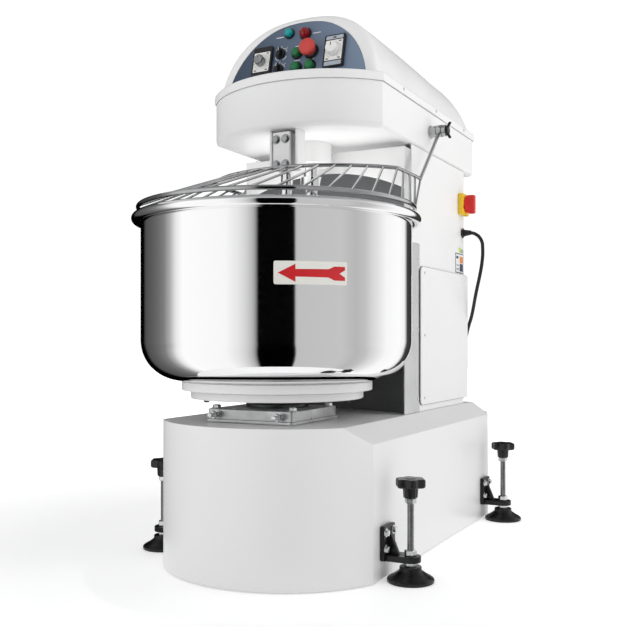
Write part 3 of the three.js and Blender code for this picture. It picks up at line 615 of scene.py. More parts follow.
def make_column():
    hw, front, rear, top, step = (COLUMN[k] for k in ("half_width", "front", "rear", "top", "step"))
    low = BASE["top"] + 0.3
    path = u_path(hw, 264.3, rear, 12, (318.3,))
    count = len(path)
    verts = [(x, y, z) for z in (low, step, top) for x, y in path]
    faces = []
    for level in (0, 1):
        for i in range(1 - level, count - 2 + level):
            a = level * count + i
            faces.append((a, a + 1, a + 1 + count, a + count))
    Shape().add(verts, faces).piece("column_body", "white_paint", stands_for=["column_shell"], thickness=3,
                                    edge=0.8)

    rise, foot = FACE_ARCH["rise"], FACE_ARCH["foot"]
    radius = (hw ** 2 + rise ** 2) / (2 * rise)
    sweep = degrees(asin(hw / radius))
    arch = arc(0, FACE_ARCH["top"] - radius, radius, 90 - sweep, 90 + sweep, 72)
    face = Shape().prism([(-hw, foot), *reversed(arch), (hw, foot)], -front - 3, -front, at=FRONT_PLANE,
                         bevel=1, segments=2)
    face.piece("column_arch_face", "white_paint", stands_for=["column_front_cover"])
    upper = [(front + 3.2, 800), (243.7, 800), (243.7, step), (FLANGE_EDGE, step), (FLANGE_EDGE, foot),
             (front + 3.2, foot)]
    flanges, strips = Shape(), Shape()
    for x in (hw - 3, -hw):
        flanges.prism(upper, x, x + 3, at=SIDE_PLANE, bevel=0.7, segments=2)
        strips.prism([(front + 3.5, low), (318, low), (318, step - 0.3), (front + 3.5, step - 0.3)], x, x + 3,
                     at=SIDE_PLANE, bevel=0.7, segments=2)
    flanges.piece("column_flanges", "stainless", stands_for=["column_front_cover"], look="brushed_flange")
    strips.piece("column_side_strips", "stainless", stands_for=["column_front_cover"], look="brushed_strip_painted_shade")
    sweep = degrees(asin((hw - 3.5) / LINER_RADIUS))
    outer = arc(0, 0, LINER_RADIUS, 90 - sweep, 90 + sweep, 72)
    inner = arc(0, 0, LINER_RADIUS - 2.7, 90 + sweep, 90 - sweep, 72)
    Shape().prism(outer + inner, low, 955.5) \
        .piece("recess_liner", "grey_paint", stands_for=["column_recess_liner"])

    def cover(grow, inward, thickness, name, finish, stands_for, edge):
        corner = 14.0
        reach = hw + 0.3 + thickness
        front_y, rear_y = COVER["front"] - grow, COVER["rear"] - inward
        ys = [front_y + corner * (1 - cos(radians(a))) for a in (0, 18, 36, 54, 72, 90)]
        path = u_path(reach, ys[0], rear_y, 14, (*ys[1:], 350, 500, 640))
        bottom, top_z = COVER["bottom"] - grow, COVER["top"] + grow
        rings = []
        for x, y in path:
            run = min(corner, y - front_y)
            dip = corner - sqrt(corner ** 2 - (corner - run) ** 2)
            rings.append([(x, y, bottom + dip + (top_z - bottom - 2 * dip) * t)
                          for t in (0, 0.03, 0.5, 0.97, 1)])
        Shape().loft(rings, closed=False, caps=False).piece(name, finish, stands_for=stands_for,
                                                            thickness=thickness, edge=edge)

    cover(0, 0, 4, "service_cover_panel", "white_paint", ["service_cover"], 1.4)
    cover(1.1, 2.6, 0.8, "service_cover_gasket", "rubber", [], 0)
    screws = Shape()
    for side in (-1, 1):
        for z in (696, 527, 357):
            screws.screw((side * hw, 308, z), (side, 0, 0), 3.4)
        for z in (666, 512, 357):
            screws.screw((side * (hw + 4.3), 343, z), (side, 0, 0), 3.6)
            screws.screw((side * 150, COVER["rear"], z), (0, 1, 0), 3.6)
    screws.piece("column_screws", "chrome")


# ---------- Head ----------
HEAD = {"half_width": 220, "bow": 282, "bow_y": 260, "rear": 749, "bottom": 970, "top": 1072}
SKIRT_TOP = 1093
SKIRT_SCREW_Z = 1083
SKIRT_OVER = 4
DOME = {"half_width": 208.4, "rise": 216.6, "springing": 1045.4, "ridge_rear": 573, "rear": 750,
        "power": 2.2, "full_power": 2.5, "fillet": 15, "fall": 0.1, "rear_round": 0.5}
LEAN = radians(12.9)
PANEL = {"foot_y": 77, "foot_z": 1091, "half_width": 185.2, "rise": 203, "springing": -40, "bottom": 5,
         "power": 2.1}
PANEL_FRAME = Matrix(((1, 0, 0, 0), (0, sin(LEAN), -cos(LEAN), PANEL["foot_y"]),
                      (0, cos(LEAN), sin(LEAN), PANEL["foot_z"]), (0, 0, 0, 1)))


def arch_points(half_width, rise, springing, power, low, steps=120):
    """The upper part of a superellipse, from its right foot at the height low round to the left foot."""
    start = asin(((low - springing) / rise) ** (power / 2))
    points = []
    for i in range(steps + 1):
        t = start + (pi - 2 * start) * i / steps
        c = cos(t)
        points.append((copysign(abs(c) ** (2 / power), c) * half_width,
                       springing + rise * sin(t) ** (2 / power)))
    return points


def panel_arch(grow):
    """The panel's outline on its own slope, widened by grow."""
    return arch_points(PANEL["half_width"] + grow, PANEL["rise"] + grow, PANEL["springing"], PANEL["power"],
                       PANEL["bottom"] - grow)


def make_head():
    args = (HEAD["half_width"], HEAD["bow"], HEAD["bow_y"], HEAD["rear"], 12)
    round_r = 13
    rings = []
    for rad in map(radians, (4, *QUARTER[1:])):
        z = HEAD["bottom"] + round_r * (1 - cos(rad))
        rings.append([(x, y, z) for x, y in bowed(*args, inset=round_r * (1 - sin(rad)))])
    rings.insert(0, [(x, y, HEAD["bottom"]) for x, y in bowed(*args, inset=round_r)])
    rings.append([(x, y, HEAD["top"]) for x, y in bowed(*args)])
    count = len(rings[0])
    shape = Shape().loft(rings, caps=False)
    shape.add(rings[0], [tuple(reversed(range(count)))])
    bmesh.ops.remove_doubles(shape.bm, verts=shape.bm.verts, dist=1e-3)
    bmesh.ops.recalc_face_normals(shape.bm, faces=shape.bm.faces)
    shape.piece("head_body", "white_paint", stands_for=["head_box"], thickness=3, smooth=25)

    over = (HEAD["half_width"] + SKIRT_OVER, HEAD["bow"] + SKIRT_OVER, HEAD["bow_y"],
            HEAD["rear"] + SKIRT_OVER, 14)
    low = HEAD["top"] + 0.3
    skirt_rings = [(5, low + 6), (3, low), (0.8, low), (0, low + 0.8), (0, SKIRT_TOP - 5),
                   (0.4, SKIRT_TOP - 3), (1.5, SKIRT_TOP - 1.5), (3, SKIRT_TOP - 0.4), (5, SKIRT_TOP)]
    lid = Shape().loft([[(x, y, z) for x, y in bowed(*over, inset=i)] for i, z in skirt_rings])
    lid.piece("head_skirt", "white_paint", stands_for=["head_lid"], smooth=30)

    fillet = DOME["fillet"]
    foot = SKIRT_TOP - 1

    def tunnel(y_of, inset=0.0, squash=1.0):
        power = DOME["full_power"] - (DOME["full_power"] - DOME["power"]) * inset / fillet
        arch = arch_points(DOME["half_width"] - inset, DOME["rise"] - inset, DOME["springing"], power, foot)
        return [(x, y_of(z), foot + (z - foot) * squash) for x, z in arch]

    def face_y(z, depth=0.0):
        return PANEL["foot_y"] + tan(LEAN) * (z - PANEL["foot_z"]) + depth / cos(LEAN)

    opening, widened = panel_arch(0), panel_arch(1)
    rows = [[PANEL_FRAME @ Vector((x, u, w)) for x, u in arch]
            for arch, w in ((opening, -4), (opening, -0.8), (widened, 0))]
    for rad in map(radians, QUARTER):
        depth = fillet * (1 - cos(rad))
        rows.append(tunnel(lambda z: face_y(z, depth), fillet * (1 - sin(rad))))
    for t in (0.15, 0.3, 0.45, 0.6, 0.75, 0.9, 1):
        rows.append(tunnel(lambda z: face_y(z, fillet) + (DOME["ridge_rear"] - face_y(z, fillet)) * t,
                           squash=1 - DOME["fall"] * t ** 2))
    for rad in map(radians, range(10, 91, 10)):
        y = DOME["ridge_rear"] + (DOME["rear"] - DOME["ridge_rear"]) * sin(rad) ** DOME["rear_round"]
        squash = (1 - DOME["fall"]) * max(0.0, cos(rad)) ** DOME["rear_round"]
        rows.append(tunnel(lambda z: y, squash=max(0.004, squash)))
    dome = Shape().loft(rows, closed=False, caps=False)
    foot_x, edge_x, bottom = opening[0][0], widened[0][0], PANEL["bottom"]
    strip = [[PANEL_FRAME @ Vector((reach * (1 - i / 20), u, w)) for i in range(41)]
             for reach, u, w in ((foot_x, bottom, -4), (foot_x, bottom, -0.8), (edge_x, bottom - 1, 0),
                                 (196, 0.5, 0), (196, -3, 0))]
    dome.loft(strip, closed=False, caps=False)
    bmesh.ops.remove_doubles(dome.bm, verts=dome.bm.verts, dist=0.05)
    bmesh.ops.recalc_face_normals(dome.bm, faces=dome.bm.faces)
    dome.piece("head_dome", "white_paint", stands_for=["head_lid"], smooth=40)

    screws = Shape()
    for side in (-1, 1):
        for y in (199, 420, 646):
            screws.screw((side * (HEAD["half_width"] + SKIRT_OVER), y, SKIRT_SCREW_Z), (side, 0, 0), 3.4)
    screws.piece("skirt_screws", "chrome")


# ---------- Control panel ----------
TIMERS = (("slow_timer", -93, 69, "black_plastic", "chrome", 12.5),
          ("fast_timer", 98, 69, "white_plastic", "white_plastic", 14.5))
BUTTONS = (("start_button", -1, 81), ("bowl_button", 0, 44), ("jog_button", 37, 43))
SELECTORS = (("speed_selector", -46, 86), ("direction_selector", -47, 46))
INDICATORS = ((-28, 136, 9.5), (15.5, 128, 12))
E_STOP = (36, 80)


def on_panel(x, u, w=0.0):
    """A frame on the control panel, whose z leaves the face."""
    return PANEL_FRAME @ Matrix.Translation((x, u, w))


def ring_arc(shape, at, radius, width, start, stop, low, high):
    steps = max(6, round(abs(stop - start) / 8))
    outline = arc(0, 0, radius + width, start, stop, steps) + arc(0, 0, radius, stop, start, steps)
    shape.prism(outline, low, high, at=at)


def make_panel():
    Shape().prism(panel_arch(-0.5), -4, -1, at=PANEL_FRAME, bevel=0.4, segments=2) \
        .piece("control_fascia", "panel_blue", stands_for=["control_panel"])
    rims, marks = Shape(), Shape()
    for _, x, u in BUTTONS:
        rims.lathe([[11.6, -1], [15, -1], [15, 1.6], [14.2, 2.8], [12.2, 2.8], [11.6, 2.2], [11.6, -1]],
                   at=on_panel(x, u), sides=40)
        marks.prism(rounded_box(-8, -0.8, 8, 0.8, 0.4, 2), -1, -0.7, at=on_panel(x, u + 19))
    for x, u, r in INDICATORS:
        rims.lathe([[r - 2, -1], [r + 3.4, -1], [r + 3.4, 1.4], [r + 2.6, 2.6], [r + 0.4, 2.6], [r - 2, 1.5],
                    [r - 2, -1]], at=on_panel(x, u), sides=40)
        side = copysign(1, x)
        marks.prism(rounded_box(-10, -0.9, 10, 0.9, 0.5, 2), -1, -0.7,
                    at=on_panel(x + side * (r + 17), u - 3 + 2 * side))
    rims.lathe([[13.6, -1], [19, -1], [19, 1], [17.5, 3], [14, 3], [13.6, 2.4], [13.6, -1]],
               at=on_panel(*E_STOP), sides=48)
    rims.piece("control_bezels", "black_plastic")
    for name, x, u in SELECTORS:
        for start, stop in ((20, 75), (105, 160), (200, 250), (290, 340)):
            ring_arc(marks, on_panel(x, u), 15.6, 1.3, start, stop, -1, -0.72)
        for angle in (45, 90, 135):
            spin = on_panel(x, u) @ Matrix.Rotation(radians(angle), 4, "Z")
            marks.block((18.4, 22), (-0.7, 0.7), (-1, -0.72), at=spin)
    marks.piece("panel_marks", "white_plastic")

    for name, x, u in BUTTONS:
        Shape().lathe([[0, 2.7], [10.6, 2.7], [11, 3.1], [11, 9], [10.2, 11.6], [8.6, 13], [6, 13.7],
                       [0, 14]], at=on_panel(x, u), sides=40) \
            .piece(name + "_cap", "green_plastic", name, [name])
    x, u, r = INDICATORS[0]
    lens = [[r * 0.95, 0], [r, 0.5], [r, 8], [r * 0.93, 10.4]]
    ribs = [[r * (0.82 - 0.16 * i), 11.8 + 0.85 * i ** 0.8 + 0.3 * (i % 2)] for i in range(5)]
    Shape().lathe([[0, 0], *lens, *ribs, [0, 15]], at=on_panel(x, u), sides=40) \
        .piece("indicator_teal_lens", "teal_lens", stands_for=["indicator_teal"])
    x, u, r = INDICATORS[1]
    ball = [[r * cos(a), 7.4 + 11.6 * sin(a)] for a in map(radians, range(0, 85, 12))]
    Shape().lathe([[0, 0], [r - 0.4, 0], [r, 0.5], *ball, [0, 19]], at=on_panel(x, u), sides=40) \
        .piece("indicator_red_lens", "red_plastic", stands_for=["indicator_red"], look="red_lens")

    for name, x, u in SELECTORS:
        knob = Shape().prism(star(48, 12, 0.6), -0.6, 5.6, at=on_panel(x, u))
        knob.prism(rounded_box(-4, -11.4, 4, 11.4, 3), 5, 14.8, at=on_panel(x, u), bevel=1.2)
        knob.piece(name + "_knob", "black_plastic", name, [name])
        Shape().prism(rounded_box(-0.7, 3, 0.7, 10.5, 0.5, 2), 14.6, 15, at=on_panel(x, u)) \
            .piece(name + "_line", "white_plastic", name)

    x, u = E_STOP
    cap = [[0, 0], [12.6, 0], [13, 0.5], [13, 17.6], [17.6, 17.4], [19.4, 18.4], [20, 20.4], [20, 23.5],
           [19.2, 27], [17, 29.6], [13, 31.2], [8, 31.8], [0, 32]]
    Shape().lathe([[r, max(h, 5.3)] for r, h in cap], at=on_panel(x, u), sides=64) \
        .piece("emergency_stop_mushroom", "red_plastic", "emergency_stop", ["emergency_stop"],
               look="mushroom_red")

    for name, x, u, strips, grip, reach in TIMERS:
        Shape().prism(rounded_box(-26, -40, 26, 40, 3), -0.7, 7, at=on_panel(x, u), bevel=1.4) \
            .piece(name + "_bezel", "black_plastic", stands_for=[name])
        Shape().prism(rounded_box(-21.5, -24.5, 21.5, 25.5, 1.5), 6.6, 7.6, at=on_panel(x, u), bevel=0.3,
                      segments=2).piece(name + "_dial", "white_plastic")
        labels = Shape()
        for low, high in ((28, 36.5), (-37, -27)):
            labels.prism(rounded_box(-21.5, low, 21.5, high, 1, 3), 6.8, 7.3, at=on_panel(x, u))
        labels.piece(name + "_labels", strips, look="pale_strip" if strips == "white_plastic" else None)
        ticks = Shape()
        for i in range(25):
            spin = on_panel(x, u) @ Matrix.Rotation(radians(-60 + 12.5 * i), 4, "Z")
            ticks.block((18.4, 20.8 if i % 4 == 0 else 19.8), (-0.35, 0.35), (7.5, 7.8), at=spin)
        for tx, tu in ((15, 21.5), (15, -20.5), (-15, -20.5)):
            ticks.prism(rounded_box(tx - 3.2, tu - 1.3, tx + 3.2, tu + 1.3, 0.4, 2), 7.5, 7.8,
                        at=on_panel(x, u))
        ticks.prism(rounded_box(-4, 30.6, 4, 33.6, 0.6, 2), 7.2, 7.5, at=on_panel(x, u))
        ticks.piece(name + "_scale", "black_plastic")
        knob = Shape().prism(star(56, reach, 0.7), 9.3, 22.4, at=on_panel(x, u))
        knob.lathe([[0, 22], [reach - 0.6, 22], [reach - 0.9, 24.2], [reach - 2, 25.6], [reach - 4, 26],
                    [reach - 5, 25.5], [0, 25.5]], at=on_panel(x, u), sides=56)
        knob.lathe([[0, 7.4], [reach - 2.5, 7.4], [reach - 2.5, 9.4], [0, 9.4]], at=on_panel(x, u), sides=40)
        knob.piece(name + "_grip", grip, name + "_knob", [name + "_knob"],
                   look="rod_steel" if grip == "chrome" else None)
        Shape().prism(rounded_box(-0.9, 2, 0.9, reach - 3.5, 0.6, 2), 25.3, 25.9, at=on_panel(x, u)) \
            .piece(name + "_pointer", "black_plastic", name + "_knob")


# ---------- Spiral and breaker bar ----------
SHAFT_Y = 165
HOOK_RADIUS, HOOK_TURNS, HOOK_TOP, HOOK_DROP, HOOK_ROD = 101, 1.35, 838, 394, 14


def make_spiral():
    def hook(t):
        radius = HOOK_RADIUS * sin(min(1, t / 0.16) * pi / 2) - 26 * max(0, (t - 0.85) / 0.15)
        x, y = polar(radius, TAU * HOOK_TURNS * t - 0.4)
        return x, SHAFT_Y + y, HOOK_TOP - HOOK_DROP * t ** 1.1

    at = Matrix.Translation((0, SHAFT_Y, 0))
    line = [hook(i / 160) for i in range(161)]
    shape = Shape().tube(line, lambda t: HOOK_ROD - 3 * max(0, (t - 0.92) / 0.08), sides=24, round_ends=True)
    shape.lathe([[0, 822], [17, 822], [20, 825], [20, 1061], [19, 1062], [0, 1062]],
                at=at, sides=48)
    shape.lathe([[20, 864], [26, 864], [27, 865], [27, 889], [26, 890], [20, 890], [20, 864]],
                at=at, sides=48)
    shape.piece("spiral_tool", "stainless", "spiral", ["spiral_hook"], smooth=45)
    floor = HEAD["bottom"] + 3.3
    Shape().lathe([[30.4, 920], [31.4, 919], [45.5, 919], [47.5, 921], [47.5, floor], [73, floor],
                   [75, floor + 2], [75, floor + 8], [74, floor + 9], [47.5, floor + 9], [47.5, 992],
                   [30.4, 992], [30.4, 920]], at=at, sides=72) \
        .piece("spindle_sleeve", "white_paint", stands_for=["spindle_housing"])


def make_breaker():
    channel = [(-22, 2), (-16, 2), (-16, 34), (44, 34), (44, 2), (50, 2), (50, 40), (-22, 40)]
    Shape().prism(channel, 882, HEAD["bottom"] - 0.3, bevel=1.5, segments=2) \
        .piece("breaker_channel", "white_paint", stands_for=["breaker_bracket"])
    Shape().prism([(-9, 885), (32, 885), (32, 964), (-9, 964)], -4, 4, at=FRONT_PLANE, bevel=1.5) \
        .piece("breaker_plate", "white_paint", stands_for=["breaker_clamp"])
    bolts = Shape()
    for x in (-1, 23):
        for z in (892, 948):
            bolts.hex_bolt((x, -4, z), (0, -1, 0), 7.6, 4.6)
    bolts.piece("breaker_bolts", "chrome", look="rod_steel")
    path = smooth_path([(14, 19, 900), (14, 19, 850), (10, 12, 760), (5, 4, 640), (5, 2, 520), (5, 2, 446)],
                       8)
    bar = Shape().tube(path, 14, sides=28, round_ends=True)
    bar.block((-4, 32), (4.4, 33.6), (884, 966), bevel=2)
    bar.piece("breaker_rod", "stainless", stands_for=["breaker_bar"], smooth=45)


# ---------- Guard ----------
GUARD = {"frame_z": 882, "ring_z": 789, "half_width": 245, "rear_y": 251, "bow": 300, "bow_y": 280,
         "ring": 306, "ring_end": 115.6, "wires": 24}
PIVOT = (387, 1023)
HUB_X, BOSS_X, WING_X = 239.2, 220.2, 252.4
HOOP_ROD, FRAME_ROD, WIRE_ROD = 4.8, 4.3, 2.6


def make_guard():
    g = GUARD
    width, rear, level = g["half_width"], g["rear_y"], g["frame_z"]
    half = degrees(asin(width / g["bow"]))
    foot_y = g["bow_y"] - g["bow"] * cos(radians(half))
    side_run = rear - foot_y
    run = 2 * side_run + 2 * radians(half) * g["bow"]

    def frame_point(t):
        along = t * run
        if along < side_run:
            return Vector((-width, rear - along, level))
        if along > run - side_run:
            return Vector((width, rear - (run - along), level))
        bearing = -half + 2 * half * (along - side_run) / (run - 2 * side_run)
        return Vector(around_bowl(g["bow"], bearing, level)) + Vector((0, g["bow_y"], 0))

    def ring_point(t):
        return Vector(around_bowl(g["ring"], g["ring_end"] * (2 * t - 1), g["ring_z"]))

    shape = Shape()
    shape.tube([ring_point(i / 144) for i in range(145)], HOOP_ROD, sides=14, round_ends=True)
    y, z = PIVOT

    def arm(side):
        pivot, elbow = Vector((side * width, y, z)), Vector((side * width, rear + 6, level + 7))
        return [pivot, pivot.lerp(elbow, 0.5), elbow, Vector((side * width, rear - 4, level))]

    rail = [*arm(-1), *(frame_point(i / 90) for i in range(3, 88)), *reversed(arm(1))]
    shape.tube(smooth_path(rail, 6), FRAME_ROD, sides=14)
    for i in range(g["wires"] + 1):
        t = i / g["wires"]
        top, foot = frame_point(t), ring_point(t)
        top = top + (top - foot).normalized() * 3
        shape.tube([top, top.lerp(foot, 0.5), foot], WIRE_ROD, sides=10, round_ends=True)
    for side in (-1, 1):
        hub = frame_at((side * HUB_X, y, z), (side, 0, 0))
        shape.lathe([[0, 0], [14, 0], [15, 1], [15, 11.6], [14, 12.6], [0, 12.6]], at=hub, sides=40)
    shape.piece("wire_guard", "stainless", "guard", ["guard"], look="polished_wire", smooth=50)
    for side, name in ((-1, "left"), (1, "right")):
        boss = frame_at((side * BOSS_X, y, z), (side, 0, 0))
        Shape().lathe([[0, 0], [16, 0], [16, 3.4], [14.8, 4.6], [14.4, 4.6], [14.4, 17.4], [13.4, 18.4],
                       [0, 18.4]], at=boss, sides=40) \
            .piece(f"pivot_boss_{name}", "chrome", stands_for=[f"guard_pivot_{name}"], look="polished_wire")
        grip = frame_at((side * WING_X, y, z), (side, 0, 0), UP)
        Shape().lathe([[0, 0], [13.4, 0], [14.4, 1], [14.4, 9], [13.4, 10], [0, 10]], at=grip, sides=40) \
            .piece(f"wing_collar_{name}", "chrome", f"guard_knob_{name}", look="polished_wire")
        wing = Shape().lathe([[0, 9.5], [12.4, 9.5], [12.4, 12], [9.6, 16.4], [0, 17.4]], at=grip, sides=32)
        for lobe in (grip, grip @ HALF_TURN):
            rings = []
            for i in range(13):
                t = i / 12
                taper = 1 if t < 0.85 else sqrt(max(0.02, 1 - ((t - 0.85) / 0.15) ** 2))
                half_h, half_w, rise = (4.6 - 1.2 * t) * taper, 4.0 * taper, 13 + 6.4 * ease(t)
                rings.append([(5 + 15.8 * t, half_h * cos(a), rise + half_w * sin(a))
                              for a in (TAU * k / 16 for k in range(16))])
            wing.loft(rings, at=lobe)
        wing.piece(f"wing_knob_{name}", "black_plastic", f"guard_knob_{name}", [f"guard_knob_{name}"],
                   smooth=45)


# ---------- Levelling feet ----------
FOOT = {"x": 317, "front": 2, "rear": 709, "wall": 260.7}
PITCH, ROD_SIDES, ROD_LOW, ROD_TOP = 2.6, 20, 31.0, 166.0


def make_foot(label, side, y):
    at = Matrix.Translation((side * FOOT["x"], y, 0))
    if side > 0:
        at = at @ HALF_TURN
    wall = FOOT["x"] - FOOT["wall"]
    bracket = Shape()
    arm = [(wall, -22), (wall, 22), *arc(0, 0, 22, 90, 270, 16)]
    bracket.prism(arm, 41, 54, at=at, bevel=1.6)
    bracket.prism(rounded_box(-30, 41, 30, 114, 5), wall - 10, wall, at=at @ SIDE_PLANE, bevel=1.4)
    bracket.prism([(wall - 9, 53), (24, 53), (wall - 9, 108)], -5, 5, at=at @ FRONT_PLANE, bevel=1.2)
    bracket.piece(f"bracket_{label}", "black_cast", stands_for=[f"foot_bracket_{label}"])
    fixings = Shape()
    inward = at.to_3x3() @ Vector((-1, 0, 0))
    for by in (-20, 20):
        for bz in (66, 100):
            fixings.hex_bolt(at @ Vector((wall - 10, by, bz)), inward, 7, 5.4)
    fixings.nut(at @ Vector((0, 0, 33.2)), UP, 13, 7.8)
    fixings.nut(at @ Vector((0, 0, 54)), UP, 13, 12)
    fixings.piece(f"bracket_fixings_{label}", "chrome", look="zinc_plated")

    body = f"foot_{label}"
    pad = [[0, 0], [47.6, 0], [49.2, 1.6], [49.2, 6.4], [47.8, 8.4], [44.2, 11], [36, 15.4], [27, 21.6],
           [24.4, 23.8], [23.4, 26], [23, 28], [23, 31.5], [22, 32.5], [0, 32.5]]
    Shape().lathe(pad, at=at, sides=72).piece(f"foot_pad_{label}", "black_cast", body,
                                              [f"leveling_foot_{label}"])
    rings = []
    rows = round((ROD_TOP - ROD_LOW) / PITCH * 4)
    for i in range(rows + 1):
        h = ROD_LOW + (ROD_TOP - ROD_LOW) * i / rows
        radii = [7.5 - 1.3 * abs(2 * ((h / PITCH - k / ROD_SIDES) % 1) - 1) for k in range(ROD_SIDES)]
        rings.append([(*polar(r, TAU * k / ROD_SIDES), h) for k, r in enumerate(radii)])
    rod = Shape().loft(rings, at=at)
    nuts = Shape().nut(at @ Vector((0, 0, 162.6)), UP, 12.4, 11)
    nuts.nut(at @ Vector((0, 0, 25)), UP, 12, 8)
    nuts.piece(f"foot_nuts_{label}", "chrome", body, look="zinc_plated")
    rod.piece(f"foot_rod_{label}", "chrome", body, look="rod_steel", smooth=20)
    knob = Shape()
    lobes = [polar(29.6 + 2.9 * cos(6 * a), a) for a in (TAU * i / 144 for i in range(144))]
    levels = ((0.86, 195), (0.95, 196.2), (0.99, 198), (1, 201), (1, 209), (0.985, 211.5), (0.94, 213.2),
              (0.86, 214))
    knob.loft([[(s * x, s * yy, h) for x, yy in lobes] for s, h in levels], at=at)
    knob.lathe([[0, 213.4], [11, 213.4], [10.4, 214.9], [0, 215]], at=at, sides=32)
    knob.loft([[(s * x, s * yy, h) for x, yy in star(24, 15, 1.3)] for s, h in ((0.9, 173.6), (1, 175),
                                                                                (1.08, 196))], at=at)
    knob.piece(f"foot_knob_{label}", "black_plastic", body, smooth=28)


# ---------- Electrical pieces ----------
SWITCH = (642, 875)
GLAND = (650, 798)
WALL = COLUMN["half_width"] + 0.3
# Plain colour blocks beside the lead: name, look, (front, low, rear, high) on the column, and thickness.
PLATES = (("data_plate_border", "label_blue", (592, 685, 661, 739), 0.3),
          ("data_plate", None, (594.5, 687.5, 658.5, 736.5), 0.45),
          ("data_plate_band", "label_orange", (628, 713, 655, 731), 0.6),
          ("data_plate_block", "label_blue", (628, 690, 655, 711), 0.6),
          ("data_plate_rows", "label_grey", (598, 692, 624, 699), 0.6),
          ("data_plate_row", "label_grey", (598, 704, 624, 708), 0.6),
          ("data_plate_head", "label_blue", (598, 724, 616, 731), 0.6),
          ("inspection_tag", "label_green", (622, 742, 637, 756), 0.4),
          ("inspection_tag_end", "label_grey", (639, 742, 661, 752), 0.4))


def make_electrics():
    face = frame_at((WALL, *SWITCH), (1, 0, 0), (0, 1, 0))
    Shape().prism(rounded_box(-29, -29, 29, 29, 4), 0, 14, at=face, bevel=2.2) \
        .piece("switch_box", "yellow_plastic", stands_for=["mains_switch_plate"])
    Shape().prism(rounded_box(-25, -13, -16, -4, 1), 13.8, 14.2, at=face).piece("switch_mark", "red_plastic")
    handle = Shape()
    handle.lathe([[0, 14.3], [20, 14.3], [21, 15.3], [21, 21], [19.6, 23.3], [0, 23.3]], at=face, sides=48)
    handle.loft([[(sy * x, sz * zz, w) for x, zz in rounded_box(-1, -1, 1, 1, 0.2)]
                 for sy, sz, w in ((15, 20, 15), (13.5, 23, 19), (11, 25, 24), (8.6, 25, 36),
                                   (7.8, 24.2, 38.6), (6.4, 22.6, 39.2))], at=face)
    handle.piece("switch_handle", "red_plastic", "mains_handle", ["mains_switch_handle"])
    gland = Shape()
    at = frame_at((WALL, *GLAND), (1, 0, 0))
    gland.lathe([[0, 0], [13.5, 0], [13.5, 4.2], [12.6, 5], [10, 5], [10, 6.5], [0, 6.5]], at=at, sides=6)
    ribs = [[9.8 - 3.4 * i / 16 - (0.7 if i % 2 else 0), 5.5 + i * 1.25] for i in range(17)]
    gland.lathe([[0, 5], [10, 5], *ribs, [0, 25.7]], at=at, sides=36)
    gland.piece("strain_relief", "black_plastic", stands_for=["cable_gland"])
    for name, ink, box, lift in PLATES:
        Shape().prism(rounded_box(*box, 1.2, 3), WALL, WALL + lift, at=SIDE_PLANE) \
            .piece(name, "white_plastic", look=ink)


def make_plug():
    px, py = PLUG_AT
    at = frame_at((px, py, PLUG_AXIS), (0, 1, 0), (1, 0, 0))
    plug = Shape()
    neck = [[8 - (0.8 if i % 2 else 0) + 0.14 * i, -40 + i * 1.8] for i in range(15)]
    body = [[13.5, -12], [16, -8], [17, -3], [17, 16], [16, 20], [14, 21], [0, 21]]
    plug.lathe([[5, -40], *neck, *body], at=at, sides=40)
    plug.prism(rounded_box(px - 12, py - 10, px + 12, py + 18, 4), 0.2, 12, bevel=1.5)
    cap = plug.piece("plug_body", "black_plastic", stands_for=["plug"])
    pins = Shape()
    for x in (-6.35, 6.35):
        pins.block((px + x - 0.8, px + x + 0.8), (py + 20, py + 38), (14.5, 21), bevel=0.4, segments=2)
    pins.lathe([[0, 20], [2.4, 20], [2.4, 38.4], [1.4, 40], [0, 40]], at=frame_at((px, py, 27), (0, 1, 0)),
               sides=20)
    blades = pins.piece("plug_pins", "chrome")
    spin = Matrix.Translation((*COIL_CENTRE, 0)) @ Matrix.Rotation(radians(20), 4, "Z")
    band = []
    for a in (TAU * i / 40 for i in range(41)):
        u, w = 6.4 * cos(a), 14.2 * sin(a)
        band.append([(COIL_MEAN + u * s, v, TIE_Z + w * t) for v, s, t in
                     ((-4, 1, 1), (4, 1, 1), (4, 0.86, 0.93), (-4, 0.86, 0.93))])
    tie = Shape().loft(band, caps=False, at=spin)
    strap = tie.piece("coil_tie", "black_plastic")


# ---------- Carried-over frame solids ----------
CARRIED = {"dark_steel": ("bowl_shaft",), "chrome": ("spindle_bearing",), "grey_paint": ("control_gear_box",),
           "cast_metal": ("bowl_pulley", "bowl_motor_pulley", "spiral_pulley", "spiral_motor_pulley"),
           "rubber": ("bowl_belt", "spiral_belt"), "motor_paint": ("bowl_motor", "spiral_motor")}


def finish_carried():
    for finish, nodes in CARRIED.items():
        for node in nodes:
            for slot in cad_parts[node].material_slots:
                slot.material = MATERIALS[finish]


